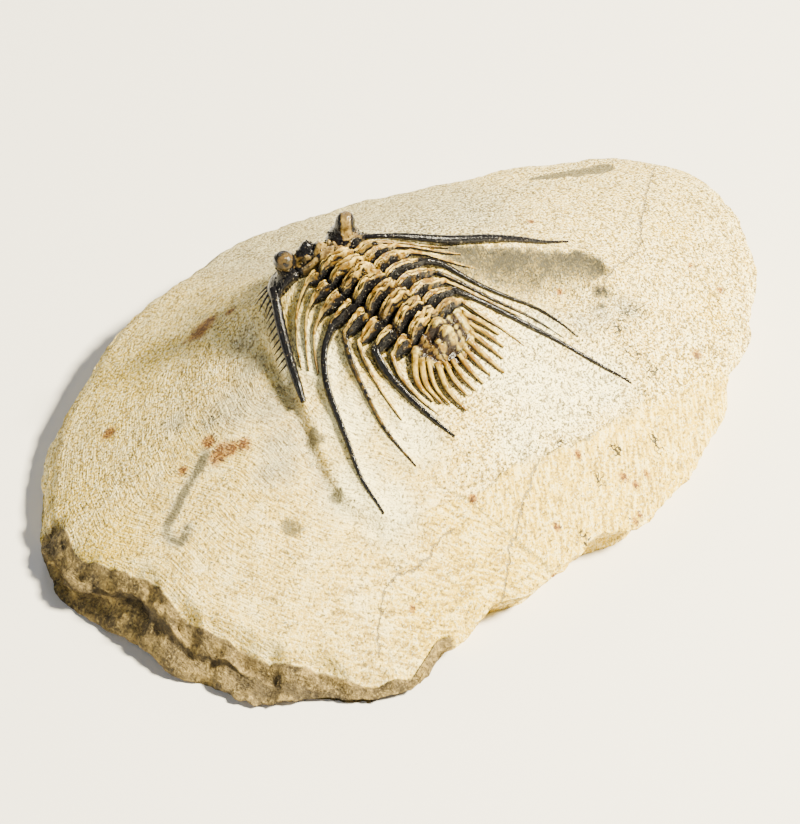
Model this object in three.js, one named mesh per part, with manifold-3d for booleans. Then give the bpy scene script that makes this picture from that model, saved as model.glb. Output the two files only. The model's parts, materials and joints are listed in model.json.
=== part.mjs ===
// Leonaspis trilobite standing in relief on a prepared block of limestone.
// Millimetres, Z up, X along the block, the animal's head towards +Y.
import * as THREE from 'three';
import { mergeVertices } from 'three/addons/utils/BufferGeometryUtils.js';
import Module from 'manifold-3d';

const solidKernel = await Module();
solidKernel.setup();

const DEGREE = Math.PI / 180;

// driving dimensions

// Plan outline of the block: [angle in degrees, radius] from above.
const BLOCK_OUTLINE = [
  [5, 51.0], [15, 49.6], [28, 42.2], [38, 37.6], [50, 34.2], [62, 33.3], [75, 33.4],
  [90, 35.5], [105, 37.2], [120, 41.4], [135, 44.4], [150, 48.2], [160, 50.2],
  [166, 50.3], [173, 48.4], [181, 47.1], [190, 46.9], [202, 44.9], [213, 44.3],
  [223, 42.0], [229, 37.4], [241, 33.7], [252, 31.8], [266, 30.8], [280, 32.2],
  [292, 34.1], [306, 35.6], [318, 38.2], [329, 42.0], [342, 47.0], [351, 50.1],
];
// How far the foot of the side wall stands outside its rim.
const WALL_FOOT = [
  [0, -3.0], [30, 0.0], [60, 1.0], [150, 1.0], [180, 1.6], [200, 1.8], [212, 0.2],
  [225, -1.6], [240, -3.0], [330, -3.2],
];
// Height of the dome's crown and the four falls from it to the edges.
const CROWN_HEIGHT = 21.7;
const DOME_TURN = -4;
const DOME_SOFTNESS = 7;
const DOME_FALL = {
  right: { drop: 9.4, reach: 44, power: 1.25 },
  left: { drop: 14.4, reach: 41, power: 1.52 },
  back: { drop: 11.4, reach: 28, power: 1.3 },
  front: { drop: 14.9, reach: 24, power: 1.46 },
};
// Raised and sunk places left by the preparator: centre, height, half sizes, turn.
const SWELLS = {
  platform: { x: -7.6, y: 6.7, height: 8.2, along: 15.5, across: 10.5, turn: -60 },
  leftFlank: { x: -23.7, y: 3.3, height: 1.3, along: 12, across: 7.3, turn: -65 },
  basin: { x: 9, y: -14, height: -0.9, along: 9, across: 6, turn: -40 },
  headRight: { x: -0.1, y: 8.6, height: 2.4, along: 8.8, across: 5.2, turn: -50 },
  headLeft: { x: -12.8, y: 11.4, height: 2.2, along: 4.9, across: 3.9, turn: -60 },
  spineRidge: { x: 12, y: 0.4, height: 3.9, along: 10.7, across: 3.4, turn: -25 },
  hollow: { x: 15, y: -5.5, height: -2.0, along: 6.5, across: 2.8, turn: -35 },
};
// Step where the prepared ground meets the untouched slope.
const PREPARED_STEP = {
  x: 0, y: 8, radius: 30, height: 0.9, width: 1.2, fade: 9, middle: 262, spread: 36,
};
const THINNEST_EDGE = 1.6;
const BLOCK_SLICES = 66;
const BLOCK_RINGS = [
  0.05, 0.1, 0.15, 0.2, 0.25, 0.3, 0.35, 0.4, 0.45, 0.5, 0.55, 0.62, 0.7, 0.78, 0.86,
  0.93, 0.975, 1,
];
// The bed under the fossil is sunk so that the shell pieces never touch stone.
const BED = { x: -3, y: -2, radius: 26, depth: 0.35, fade: 5 };

// Thorax: eight segments along a slightly bent axis.
const SEGMENTS = 8;
const SEGMENT_GAP = 0.12;
const AXIS_START = { x: -8.1, y: 7.8 };
const AXIS_PITCH = 1.66;
const AXIS_BEND = 0.055;
const AXIS_HALF_WIDTH = 2.25;
const RING_HEIGHT = 3.0;
const FURROW_HEIGHT = 0.9;
const PLEURA_HEIGHT = 1.5;
const FULCRUM_HEIGHT = 0.95;

// Free spines of the segments: plan points after the fulcrum, thickness at the root.
const LEFT_SPINES = [
  { root: 0.24, path: [[-14.4, 7.4], [-16.6, 5.1], [-18.0, 2.9]] },
  { root: 0.24, path: [[-14.2, 6.0], [-16.2, 3.9], [-17.7, 1.9]] },
  { root: 0.24, path: [[-14.5, 4.2], [-16.2, 2.4], [-17.3, 0.7]] },
  { root: 0.42, path: [[-15.4, 1.6], [-17.7, -1.4], [-19.9, -7.0], [-21.3, -11.0], [-21.8, -15.2]] },
  { root: 0.32, path: [[-13.9, -1.4], [-14.9, -5.0], [-15.7, -9.4], [-15.4, -14.0]] },
  { root: 0.24, path: [[-12.9, -3.0], [-13.4, -6.4], [-13.5, -9.6]] },
  { root: 0.42, path: [[-11.7, -4.9], [-11.4, -8.0], [-10.6, -11.5], [-9.5, -14.6]] },
  { root: 0.26, path: [[-10.7, -6.6], [-10.4, -9.2], [-9.6, -12.0]] },
];
const RIGHT_SPINES = [
  { root: 0.24, path: [[0.6, 5.2], [3.2, 3.6], [6.0, 2.4]] },
  { root: 0.24, path: [[1.5, 4.0], [4.0, 2.5], [6.9, 1.1]] },
  { root: 0.24, path: [[2.3, 2.6], [4.8, 0.9], [7.6, -0.7]] },
  { root: 0.32, path: [[3.6, 0.8], [6.6, -2.5], [10.8, -6.6], [12.6, -10.3], [13.4, -12.9]] },
  { root: 0.26, path: [[3.7, -1.1], [6.3, -4.2], [9.6, -8.4], [11.6, -12.2]] },
  { root: 0.24, path: [[3.7, -2.3], [6.0, -5.0], [8.5, -8.0]] },
  { root: 0.36, path: [[4.0, -3.9], [6.8, -7.2], [10.2, -11.7], [13.4, -16.8], [15.4, -20.3]] },
  { root: 0.26, path: [[3.1, -6.1], [4.6, -8.5], [5.9, -11.0]] },
];

// Head shield: its own small frame at the back of the head.
const HEAD = { x: -8.4, y: 8.3, turn: -8 };
const HEAD_LENGTH = 4.7;
const GLABELLA_HEIGHT = 2.7;
const CHEEK_HEIGHT = 1.1;
const EYES = {
  left: { across: -4.7, forward: 2.5, height: 3.9, lean: -0.25 },
  right: { across: 3.95, forward: 2.4, height: 4.6, lean: 0.5 },
};
const EYE_RADIUS = 1.05;
const GENAL_SPINES = {
  left: { root: 0.55, path: [[-14.9, 10.6], [-16.5, 8.0], [-18.7, 3.8], [-20.6, -0.3]] },
  right: {
    root: 0.5,
    path: [[-1.5, 8.4], [1.1, 6.5], [5.7, 3.6], [11.0, 1.8], [16.5, 0.4], [20.2, -0.4], [23.8, -1.2]],
  },
};
const FRINGE_SPINES = 14;
const FRINGE_LENGTH = 1.5;

// Tail shield and its twelve marginal spines: place on the margin from left to right,
// length, and the turns away from straight back at the root and at the tip.
const TAIL_LENGTH = 3.9;
const TAIL_SPINES = [
  [-0.97, 5.0, -38, 6], [-0.81, 4.8, -30, 8], [-0.65, 4.6, -24, 8], [-0.46, 5.4, -14, 12],
  [-0.28, 3.8, -6, 12], [-0.1, 3.6, 2, 14], [0.08, 3.6, 9, 17], [0.25, 3.6, 15, 20],
  [0.42, 4.8, 22, 24], [0.6, 4.4, 32, 26], [0.78, 4.6, 42, 30], [0.96, 4.6, 52, 34],
];

// small helpers

const blend = (a, b, f) => a + (b - a) * f;
const clamp = (value, low, high) => Math.min(high, Math.max(low, value));
const bell = (value, width) => Math.exp(-((value / width) ** 2));

function smoothStep(low, high, value) {
  const f = clamp((value - low) / (high - low), 0, 1);
  return f * f * (3 - 2 * f);
}

// Smooth value at an angle from a closed list of [degrees, value] pairs.
function aroundTheBlock(pairs, degrees) {
  const count = pairs.length;
  const angle = ((degrees % 360) + 360) % 360;
  let next = pairs.findIndex((pair) => pair[0] > angle);
  if (next < 0) next = 0;
  const previous = (next + count - 1) % count;
  const start = pairs[previous][0];
  const span = (pairs[next][0] - start + 360) % 360;
  const f = ((angle - start + 360) % 360) / span;
  return blend(pairs[previous][1], pairs[next][1], f * f * (3 - 2 * f) * 0.5 + f * 0.5);
}

// Evenly spaced plan points on a smooth curve through a few given ones.
function smoothPath(points, count) {
  const curve = new THREE.CatmullRomCurve3(
    points.map(([x, y]) => new THREE.Vector3(x, y, 0)), false, 'centripetal',
  );
  return curve.getSpacedPoints(count - 1).map((p) => [p.x, p.y]);
}

// Closed geometry from points and triangles, turned so that its faces look outwards.
function closedGeometry(points, triangles) {
  let volume = 0;
  for (const [a, b, c] of triangles) {
    const [p, q, r] = [points[a], points[b], points[c]];
    volume += p[0] * (q[1] * r[2] - q[2] * r[1])
      - p[1] * (q[0] * r[2] - q[2] * r[0])
      + p[2] * (q[0] * r[1] - q[1] * r[0]);
  }
  const faces = volume < 0 ? triangles.map(([a, b, c]) => [a, c, b]) : triangles;
  const geometry = new THREE.BufferGeometry();
  geometry.setAttribute('position', new THREE.Float32BufferAttribute(points.flat(), 3));
  geometry.setIndex(faces.flat());
  return geometry;
}

function toSolid(geometry) {
  const merged = mergeVertices(geometry, 1e-5);
  return new solidKernel.Manifold(new solidKernel.Mesh({
    numProp: 3,
    vertProperties: new Float32Array(merged.attributes.position.array),
    triVerts: new Uint32Array(merged.index.array),
  }));
}

function fuse(geometries) {
  const fused = geometries.map(toSolid).reduce((whole, piece) => whole.add(piece)).getMesh();
  const geometry = new THREE.BufferGeometry();
  geometry.setAttribute('position', new THREE.Float32BufferAttribute(fused.vertProperties, 3));
  geometry.setIndex(new THREE.Uint32BufferAttribute(fused.triVerts, 1));
  return geometry;
}

// the block of limestone

function blockRadius(degrees) {
  const a = degrees * DEGREE;
  const ragged = 0.35 * Math.sin(13 * a + 1) + 0.3 * Math.sin(23 * a + 2.3);
  return aroundTheBlock(BLOCK_OUTLINE, degrees) + ragged;
}

function domeFall(distance, ahead, behind) {
  const side = distance > 0 ? ahead : behind;
  const soft = Math.hypot(distance, DOME_SOFTNESS) - DOME_SOFTNESS;
  return side.drop * (soft / side.reach) ** side.power;
}

function preparedStep(x, y) {
  const s = PREPARED_STEP;
  const reach = Math.hypot(x - s.x, y - s.y) - s.radius;
  const degrees = (Math.atan2(y - s.y, x - s.x) / DEGREE + 360) % 360;
  const window = bell(degrees - s.middle, s.spread);
  const rise = smoothStep(-s.width, s.width, reach);
  return s.height * window * rise * Math.exp(-Math.max(reach, 0) / s.fade);
}

// Height of the finished stone surface over a plan point.
function stoneTop(x, y) {
  const c = Math.cos(DOME_TURN * DEGREE);
  const s = Math.sin(DOME_TURN * DEGREE);
  let z = CROWN_HEIGHT;
  z -= domeFall(x * c + y * s, DOME_FALL.right, DOME_FALL.left);
  z -= domeFall(-x * s + y * c, DOME_FALL.back, DOME_FALL.front);
  for (const swell of Object.values(SWELLS)) {
    const turn = swell.turn * DEGREE;
    const u = (x - swell.x) * Math.cos(turn) + (y - swell.y) * Math.sin(turn);
    const v = -(x - swell.x) * Math.sin(turn) + (y - swell.y) * Math.cos(turn);
    z += swell.height * bell(u, swell.along) * bell(v, swell.across);
  }
  z += preparedStep(x, y);
  return THINNEST_EDGE + Math.log1p(Math.exp(z - THINNEST_EDGE));
}

function bedDepth(x, y) {
  const reach = Math.hypot(x - BED.x, y - BED.y) - BED.radius;
  return BED.depth * (1 - smoothStep(0, BED.fade, reach));
}

// Ledges and lumps of the broken wall: outward shift at an angle and height share.
function wallRelief(degrees, share) {
  const a = degrees * DEGREE;
  const broken = bell(degrees - 195, 45);
  const ledge = Math.sin(7 * a + 5 * share) + 0.8 * Math.sin(17 * a + 2 + 4 * share);
  return (0.25 + 0.55 * broken) * ledge * Math.sin(Math.PI * share);
}

function blockGeometry() {
  const points = [[0, 0, stoneTop(0, 0) - bedDepth(0, 0)]];
  const rowAt = (shape) => {
    for (let i = 0; i < BLOCK_SLICES; i += 1) {
      points.push(shape((i * 360) / BLOCK_SLICES));
    }
  };
  for (const share of BLOCK_RINGS) {
    rowAt((degrees) => {
      const r = blockRadius(degrees) * share;
      const x = r * Math.cos(degrees * DEGREE);
      const y = r * Math.sin(degrees * DEGREE);
      return [x, y, stoneTop(x, y) - bedDepth(x, y)];
    });
  }
  for (const share of [0.25, 0.5, 0.75, 1]) {
    rowAt((degrees) => {
      const rim = blockRadius(degrees);
      const foot = aroundTheBlock(WALL_FOOT, degrees) * Math.sin(share * 90 * DEGREE);
      const r = rim + foot + wallRelief(degrees, share);
      const c = Math.cos(degrees * DEGREE);
      const s = Math.sin(degrees * DEGREE);
      return [r * c, r * s, stoneTop(rim * c, rim * s) * (1 - share)];
    });
  }
  const triangles = [];
  const rows = BLOCK_RINGS.length + 4;
  for (let i = 0; i < BLOCK_SLICES; i += 1) {
    const j = (i + 1) % BLOCK_SLICES;
    triangles.push([0, 1 + i, 1 + j]);
    for (let row = 0; row < rows - 1; row += 1) {
      const a = 1 + row * BLOCK_SLICES;
      const b = a + BLOCK_SLICES;
      triangles.push([a + i, b + i, b + j], [a + i, b + j, a + j]);
    }
  }
  const last = 1 + (rows - 1) * BLOCK_SLICES;
  points.push([0, 0, 0]);
  for (let i = 0; i < BLOCK_SLICES; i += 1) {
    triangles.push([points.length - 1, last + ((i + 1) % BLOCK_SLICES), last + i]);
  }
  return closedGeometry(points, triangles);
}

// shell pieces laid over the stone

// Cross sections of a shell band, [across, up]: flat plate and round spine.
const PLATE_SECTION = [[-1, 0], [-1, 0.5], [-0.4, 1], [0.4, 0.82], [1, 0.45], [1, 0]];
const SPINE_SECTION = [[-0.55, 0], [-1, 0.5], [-0.55, 1], [0.55, 1], [1, 0.5], [0.55, 0]];

// A closed band along plan stations { x, y, half, lift, round }.
function bandOverStone(stations) {
  const points = [];
  const sides = PLATE_SECTION.length;
  stations.forEach((here, k) => {
    const before = stations[Math.max(k - 1, 0)];
    const after = stations[Math.min(k + 1, stations.length - 1)];
    const length = Math.hypot(after.x - before.x, after.y - before.y);
    const nx = (after.y - before.y) / length;
    const ny = -(after.x - before.x) / length;
    for (let i = 0; i < sides; i += 1) {
      const across = blend(PLATE_SECTION[i][0], SPINE_SECTION[i][0], here.round) * here.half;
      const up = blend(PLATE_SECTION[i][1], SPINE_SECTION[i][1], here.round) * here.lift;
      const x = here.x + nx * across;
      const y = here.y + ny * across;
      points.push([x, y, stoneTop(x, y) + up]);
    }
  });
  const triangles = [];
  for (let k = 0; k < stations.length - 1; k += 1) {
    for (let i = 0; i < sides; i += 1) {
      const j = (i + 1) % sides;
      const a = k * sides;
      const b = a + sides;
      triangles.push([a + i, a + j, b + j], [a + i, b + j, b + i]);
    }
  }
  const end = (stations.length - 1) * sides;
  for (let i = 1; i < sides - 1; i += 1) {
    triangles.push([0, i + 1, i], [end, end + i, end + i + 1]);
  }
  return closedGeometry(points, triangles);
}

// Tapering spine stations along a plan path, thick end first. A high power keeps the
// spine stout almost to its tip.
function spineStations(path, root, count, power = 1.5) {
  return smoothPath(path, count).map(([x, y], k) => {
    const half = root * (1 - 0.72 * (k / (count - 1)) ** power);
    return { x, y, half, lift: half * 2, round: 1 };
  });
}

// A short four-sided thorn from a root to its tip, lying on the stone.
function thornOverStone([x, y], [tipX, tipY], half) {
  const length = Math.hypot(tipX - x, tipY - y);
  const nx = (half * (tipY - y)) / length;
  const ny = (-half * (tipX - x)) / length;
  const base = stoneTop(x, y) + 0.1;
  const points = [
    [x - nx, y - ny, base + half], [x, y, base + 2 * half], [x + nx, y + ny, base + half],
    [x, y, base], [tipX, tipY, stoneTop(tipX, tipY) + half],
  ];
  return closedGeometry(points, [
    [0, 1, 4], [1, 2, 4], [2, 3, 4], [3, 0, 4], [0, 2, 1], [0, 3, 2],
  ]);
}

// A closed patch over the stone: plan place and lift for u in -1..1, v in 0..1.
function patchOverStone(columns, rows, place, lift) {
  const points = [];
  for (const layer of [1, 0]) {
    for (let r = 0; r <= rows; r += 1) {
      for (let c = 0; c <= columns; c += 1) {
        const u = (2 * c) / columns - 1;
        const v = r / rows;
        const [x, y] = place(u, v);
        points.push([x, y, stoneTop(x, y) + layer * lift(u, v)]);
      }
    }
  }
  const under = (rows + 1) * (columns + 1);
  const at = (r, c) => r * (columns + 1) + c;
  const triangles = [];
  for (let r = 0; r < rows; r += 1) {
    for (let c = 0; c < columns; c += 1) {
      const [a, b, d, e] = [at(r, c), at(r, c + 1), at(r + 1, c + 1), at(r + 1, c)];
      triangles.push([a, b, d], [a, d, e]);
      triangles.push([under + a, under + d, under + b], [under + a, under + e, under + d]);
    }
  }
  const wall = (a, b) => triangles.push([a, under + a, under + b], [a, under + b, b]);
  for (let c = 0; c < columns; c += 1) {
    wall(at(0, c), at(0, c + 1));
    wall(at(rows, c + 1), at(rows, c));
  }
  for (let r = 0; r < rows; r += 1) {
    wall(at(r, columns), at(r + 1, columns));
    wall(at(r + 1, 0), at(r, 0));
  }
  return closedGeometry(points, triangles);
}

// thorax

// Plan lines of the body; t counts segments from the back of the head.
const axisAt = (t) => [AXIS_START.x + AXIS_BEND * t * t, AXIS_START.y - AXIS_PITCH * t];
const leftFulcrumAt = (t) => [-12.9 + 0.15 * (t - 3.2) ** 2, 9.3 - 1.85 * t];
const rightFulcrumAt = (t) => [2.2 - 0.1 * (t - 6.5) ** 2, 7.1 - 1.46 * t];

// Half of a segment from beside the axis out to the tip of its free spine.
function segmentHalf(t, fulcrum, spine) {
  const [ax, ay] = axisAt(t);
  const length = Math.hypot(fulcrum[0] - ax, fulcrum[1] - ay);
  const tx = (fulcrum[0] - ax) / length;
  const ty = (fulcrum[1] - ay) / length;
  const halfPitch = (AXIS_PITCH * (1 - SEGMENT_GAP)) / 2;
  const ring = [0.3, 0.6, 0.85, 1].map((share) => {
    const w = AXIS_HALF_WIDTH * share;
    const lift = blend(FURROW_HEIGHT, RING_HEIGHT, Math.sqrt(1 - share * share));
    return { x: ax + tx * w, y: ay + ty * w, half: halfPitch, lift, round: 0 };
  });
  const pleura = [0.3, 0.55, 0.8].map((share) => {
    const w = blend(AXIS_HALF_WIDTH, length, share);
    const lift = share < 0.5 ? PLEURA_HEIGHT : blend(PLEURA_HEIGHT, FULCRUM_HEIGHT, share);
    const half = blend(halfPitch, spine.root * 1.3, share ** 3);
    return { x: ax + tx * w, y: ay + ty * w, half, lift, round: 0.2 };
  });
  const free = spineStations([fulcrum, ...spine.path], spine.root, spine.path.length > 3 ? 9 : 6);
  return [...ring, ...pleura, ...free];
}

function segmentGeometry(index) {
  const t = index + 0.5;
  const [ax, ay] = axisAt(t);
  const left = segmentHalf(t, leftFulcrumAt(t), LEFT_SPINES[index]);
  const right = segmentHalf(t, rightFulcrumAt(t), RIGHT_SPINES[index]);
  const crest = { x: ax, y: ay, half: left[0].half, lift: RING_HEIGHT, round: 0 };
  return bandOverStone([...left.reverse(), crest, ...right]);
}

// head

function headPoint(across, forward) {
  const c = Math.cos(HEAD.turn * DEGREE);
  const s = Math.sin(HEAD.turn * DEGREE);
  return [HEAD.x + across * c - forward * s, HEAD.y + across * s + forward * c];
}

const cranidiumHalfWidth = (u, v) => (u < 0 ? 3.35 : 2.75) - 1.1 * v ** 2.5;

function cranidiumLift(u, v) {
  const w = u * cranidiumHalfWidth(u, v);
  const glabella = GLABELLA_HEIGHT * bell(w, 1.25) * smoothStep(0.14, 0.3, v) * (1 - 0.75 * v ** 6);
  const lobes = bell(v - 0.3, 0.1) + bell(v - 0.52, 0.1) + 0.8 * bell(v - 0.74, 0.09);
  const lateral = 1.5 * lobes * (bell(w - 1.9, 0.55) + bell(w + 1.9, 0.55));
  const occipital = 2.3 * bell(v - 0.04, 0.09) * bell(w, 2.6);
  const eyeRidge = 0.7 * bell(v - 0.62, 0.1) * smoothStep(2, 2.7, Math.abs(w));
  return 0.55 + Math.max(glabella, lateral, occipital) + eyeRidge;
}

function cranidiumGeometry() {
  const place = (u, v) => {
    const bow = (u < 0 ? 0.9 : 0.15) * u * u * (1 - v);
    const forward = HEAD_LENGTH * v + 0.5 * (1 - u * u) * v + bow;
    return headPoint(u * cranidiumHalfWidth(u, v), forward);
  };
  return patchOverStone(14, 10, place, cranidiumLift);
}

// Cheek between the facial suture and the outer margin; v runs front to back.
function cheekPlace(side, u, v) {
  const suture = side < 0 ? 3.6 : 3.0;
  const inner = [suture - 1.1 * (1 - v) ** 2.5, blend(HEAD_LENGTH, side < 0 ? 1.0 : 0.4, v)];
  const outer = [
    3.0 + 3.9 * Math.sin(v * 100 * DEGREE) ** 0.8,
    HEAD_LENGTH + 0.5 - 3.9 * v ** 1.7,
  ];
  const f = (u * side + 1) / 2;
  return headPoint(side * blend(inner[0], outer[0], f), blend(inner[1], outer[1], f));
}

function cheekLift(side, u, v) {
  const f = (u * side + 1) / 2;
  const border = 0.35 * bell(f - 0.9, 0.12);
  const vault = Math.sin(Math.PI * clamp(f * 0.8 + 0.15, 0, 1)) * (0.5 + 0.5 * v);
  return 0.4 + CHEEK_HEIGHT * vault + border;
}

// Eye on its stalk: a turned shape leaning outwards.
function eyeGeometry(eye) {
  const [x, y] = headPoint(eye.across, eye.forward);
  const profile = [
    [0, 0], [1.2, 0], [1.1, 0.3], [0.92, 0.55], [1, 0.72], [0.82, 0.9], [0.45, 0.98], [0, 1],
  ].map(([r, h]) => new THREE.Vector2(r * EYE_RADIUS, h * eye.height));
  const geometry = new THREE.LatheGeometry(profile, 8);
  geometry.deleteAttribute('normal');
  geometry.deleteAttribute('uv');
  geometry.rotateX(90 * DEGREE);
  const position = geometry.attributes.position;
  for (let i = 0; i < position.count; i += 1) {
    const rise = position.getZ(i) / eye.height;
    position.setX(i, position.getX(i) + eye.lean * rise ** 2);
  }
  geometry.translate(x, y, stoneTop(x, y) + 0.35);
  return mergeVertices(geometry, 1e-4);
}

// Short spines standing out from the cheek's margin and the genal spine.
function fringeGeometries(side, genalPath) {
  const margin = [cheekPlace(side, side, 0.25), cheekPlace(side, side, 0.6)];
  const line = smoothPath([...margin, ...genalPath.slice(0, 3)], FRINGE_SPINES + 2);
  return Array.from({ length: FRINGE_SPINES }, (_, k) => {
    const [x, y] = line[k + 1];
    const [x0, y0] = line[k];
    const [x1, y1] = line[k + 2];
    const length = Math.hypot(x1 - x0, y1 - y0);
    const ox = (side * -(y1 - y0)) / length;
    const oy = (side * (x1 - x0)) / length;
    const sweep = 0.35 * FRINGE_LENGTH;
    const tip = [
      x + ox * FRINGE_LENGTH + ((x1 - x0) / length) * sweep,
      y + oy * FRINGE_LENGTH + ((y1 - y0) / length) * sweep,
    ];
    return thornOverStone([x, y], tip, 0.18);
  });
}

function cheekGeometry(side, eye, genal) {
  const plate = patchOverStone(
    7, 6, (u, v) => cheekPlace(side, u, v), (u, v) => cheekLift(side, u, v),
  );
  const start = cheekPlace(side, side * 0.7, 0.8);
  const spine = bandOverStone(spineStations([start, ...genal.path], genal.root, 10, 4));
  return fuse([plate, eyeGeometry(eye), spine, ...fringeGeometries(side, genal.path)]);
}

// tail

// Plan point of the tail: sideways share -1..1 and backward share 0..1.
function tailPoint(sideways, backward) {
  const t = SEGMENTS + 0.06;
  const [ax, ay] = axisAt(t);
  const [lx, ly] = leftFulcrumAt(t);
  const [rx, ry] = rightFulcrumAt(t);
  const reach = sideways < 0 ? ax - lx - 0.75 : rx - 0.55 - ax;
  const rise = sideways < 0 ? ly - ay - 0.1 : ry - ay - 0.1;
  return [
    ax + sideways * reach + 0.16 * TAIL_LENGTH * backward,
    ay + Math.abs(sideways) * rise * (1 - backward) - TAIL_LENGTH * backward,
  ];
}

// Half-disc plate: v runs from the last segment to the rear margin.
function tailPlace(u, v) {
  return tailPoint(u * Math.sqrt(1 - (v * v) / 2), v * Math.sqrt(1 - (u * u) / 2));
}

function tailLift(u, v) {
  const axisLobe = 1.9 * bell(u, 0.3) * (1 - smoothStep(0.5, 0.8, v));
  const rings = 0.5 * bell(u, 0.32) * (bell(v - 0.12, 0.1) + bell(v - 0.42, 0.1));
  const ribs = 0.34 * Math.cos(Math.abs(u) * 16) * smoothStep(0.25, 0.45, Math.abs(u)) * (1 - v);
  return 0.6 + axisLobe + rings + ribs;
}

function tailSpine([place, length, rootTurn, tipTurn]) {
  const around = place * 85 * DEGREE;
  const root = tailPoint(0.86 * Math.sin(around), 0.86 * Math.cos(around));
  const step = ([x, y], turn) => [
    x + Math.sin(turn * DEGREE) * length * 0.5,
    y - Math.cos(turn * DEGREE) * length * 0.5,
  ];
  const middle = step(root, rootTurn);
  const tip = step(middle, tipTurn);
  return bandOverStone(spineStations([root, middle, tip], length > 4.7 ? 0.34 : 0.25, 4));
}

function tailGeometry() {
  return fuse([patchOverStone(12, 7, tailPlace, tailLift), ...TAIL_SPINES.map(tailSpine)]);
}

// assembly

const limestone = new THREE.MeshStandardMaterial({ color: 0xd8c9a4, roughness: 0.9 });
const darkShell = new THREE.MeshStandardMaterial({ color: 0x3a322c, roughness: 0.4 });
const tanShell = new THREE.MeshStandardMaterial({ color: 0x9a7444, roughness: 0.45 });

const specimen = new THREE.Group();
specimen.name = 'leonaspis_fossil';

function addPiece(name, geometry, material) {
  const plain = geometry.index ? geometry : mergeVertices(geometry, 1e-5);
  plain.computeVertexNormals();
  const mesh = new THREE.Mesh(plain, material);
  mesh.name = name;
  specimen.add(mesh);
}

addPiece('matrix', blockGeometry(), limestone);
addPiece('cranidium', cranidiumGeometry(), darkShell);
addPiece('left_free_cheek', cheekGeometry(-1, EYES.left, GENAL_SPINES.left), darkShell);
addPiece('right_free_cheek', cheekGeometry(1, EYES.right, GENAL_SPINES.right), darkShell);
for (let index = 0; index < SEGMENTS; index += 1) {
  addPiece(`thorax_segment_${index + 1}`, segmentGeometry(index), tanShell);
}
addPiece('pygidium', tailGeometry(), tanShell);

// The frame's origin is the middle of the whole specimen's underside.
const middle = new THREE.Box3().setFromObject(specimen).getCenter(new THREE.Vector3());
specimen.children.forEach((mesh) => mesh.geometry.translate(-middle.x, -middle.y, 0));

export default specimen;
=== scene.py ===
import json
import math

import bmesh
import bpy
import numpy as np
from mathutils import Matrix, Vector, noise
from mathutils.kdtree import KDTree

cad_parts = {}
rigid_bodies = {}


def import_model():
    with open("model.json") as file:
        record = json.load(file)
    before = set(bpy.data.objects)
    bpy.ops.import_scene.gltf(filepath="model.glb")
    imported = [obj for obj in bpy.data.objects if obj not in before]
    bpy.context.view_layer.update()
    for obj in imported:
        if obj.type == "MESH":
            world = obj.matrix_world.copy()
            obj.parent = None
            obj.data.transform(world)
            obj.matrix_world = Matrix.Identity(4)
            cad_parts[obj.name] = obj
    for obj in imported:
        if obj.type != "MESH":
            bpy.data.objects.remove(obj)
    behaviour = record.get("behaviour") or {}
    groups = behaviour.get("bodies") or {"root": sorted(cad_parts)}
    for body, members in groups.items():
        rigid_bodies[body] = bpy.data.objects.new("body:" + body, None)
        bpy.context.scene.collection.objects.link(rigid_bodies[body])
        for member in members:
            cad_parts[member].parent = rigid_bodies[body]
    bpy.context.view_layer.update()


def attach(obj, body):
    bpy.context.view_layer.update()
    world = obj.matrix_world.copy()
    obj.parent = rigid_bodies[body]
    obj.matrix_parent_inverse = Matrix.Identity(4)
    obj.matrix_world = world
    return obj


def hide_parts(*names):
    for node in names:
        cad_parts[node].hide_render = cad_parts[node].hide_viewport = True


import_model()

# The block of limestone
# A pale marine limestone, split from the bed and then ground and air-abraded by
# hand until the animal stood clear. Its lower left side is the raw break.

MM = 0.001
# Plan point that lies on the frame's upright axis. The object's sizes are millimetres.
MIDDLE = (0.3287, 2.5639)
# Degrees round the block from its right, and the rim's distance there.
BLOCK_OUTLINE = [
    (5, 51.0), (15, 49.6), (28, 42.2), (38, 37.6), (50, 34.2), (62, 33.3), (75, 33.4),
    (90, 35.5), (105, 37.2), (120, 41.4), (135, 44.4), (150, 48.2), (160, 50.2),
    (166, 50.3), (173, 48.4), (181, 47.1), (190, 46.9), (202, 44.9), (213, 44.3),
    (223, 42.0), (229, 37.4), (241, 33.7), (252, 31.8), (266, 30.8), (280, 32.2),
    (292, 34.1), (306, 35.6), (318, 38.2), (329, 42.0), (342, 47.0), (351, 50.1),
]
# Degrees, and how far the foot of the wall stands out past the rim.
WALL_FOOT = [
    (0, -3.0), (30, 0.0), (60, 1.0), (150, 1.0), (180, 1.6), (200, 1.8), (212, 0.2),
    (225, -1.6), (240, -3.0), (330, -3.2),
]
CROWN_HEIGHT = 21.7
DOME_TURN = -4
DOME_SOFTNESS = 7
# How far the dome falls on each side, over what reach and with what power.
FALL_RIGHT, FALL_LEFT = (9.4, 44, 1.25), (14.4, 41, 1.52)
FALL_BACK, FALL_FRONT = (11.4, 28, 1.3), (14.9, 24, 1.46)
# Swells of the top: plan centre, height, two half widths and the turn in degrees.
SWELLS = [
    (-7.6, 6.7, 8.2, 15.5, 10.5, -60), (-23.7, 3.3, 1.3, 12, 7.3, -65),
    (9, -14, -0.9, 9, 6, -40), (-0.1, 8.6, 2.4, 8.8, 5.2, -50),
    (-12.8, 11.4, 2.2, 4.9, 3.9, -60), (12, 0.4, 3.9, 10.7, 3.4, -25),
    (15, -5.5, -2.0, 6.5, 2.8, -35),
]
STEP_CENTRE, STEP_RADIUS, STEP_HEIGHT = (0, 8), 30, 0.9
THINNEST_EDGE = 1.6
# The block's mean radius, which turns an angle into a length along the rim.
MEAN_RADIUS = 45
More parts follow.
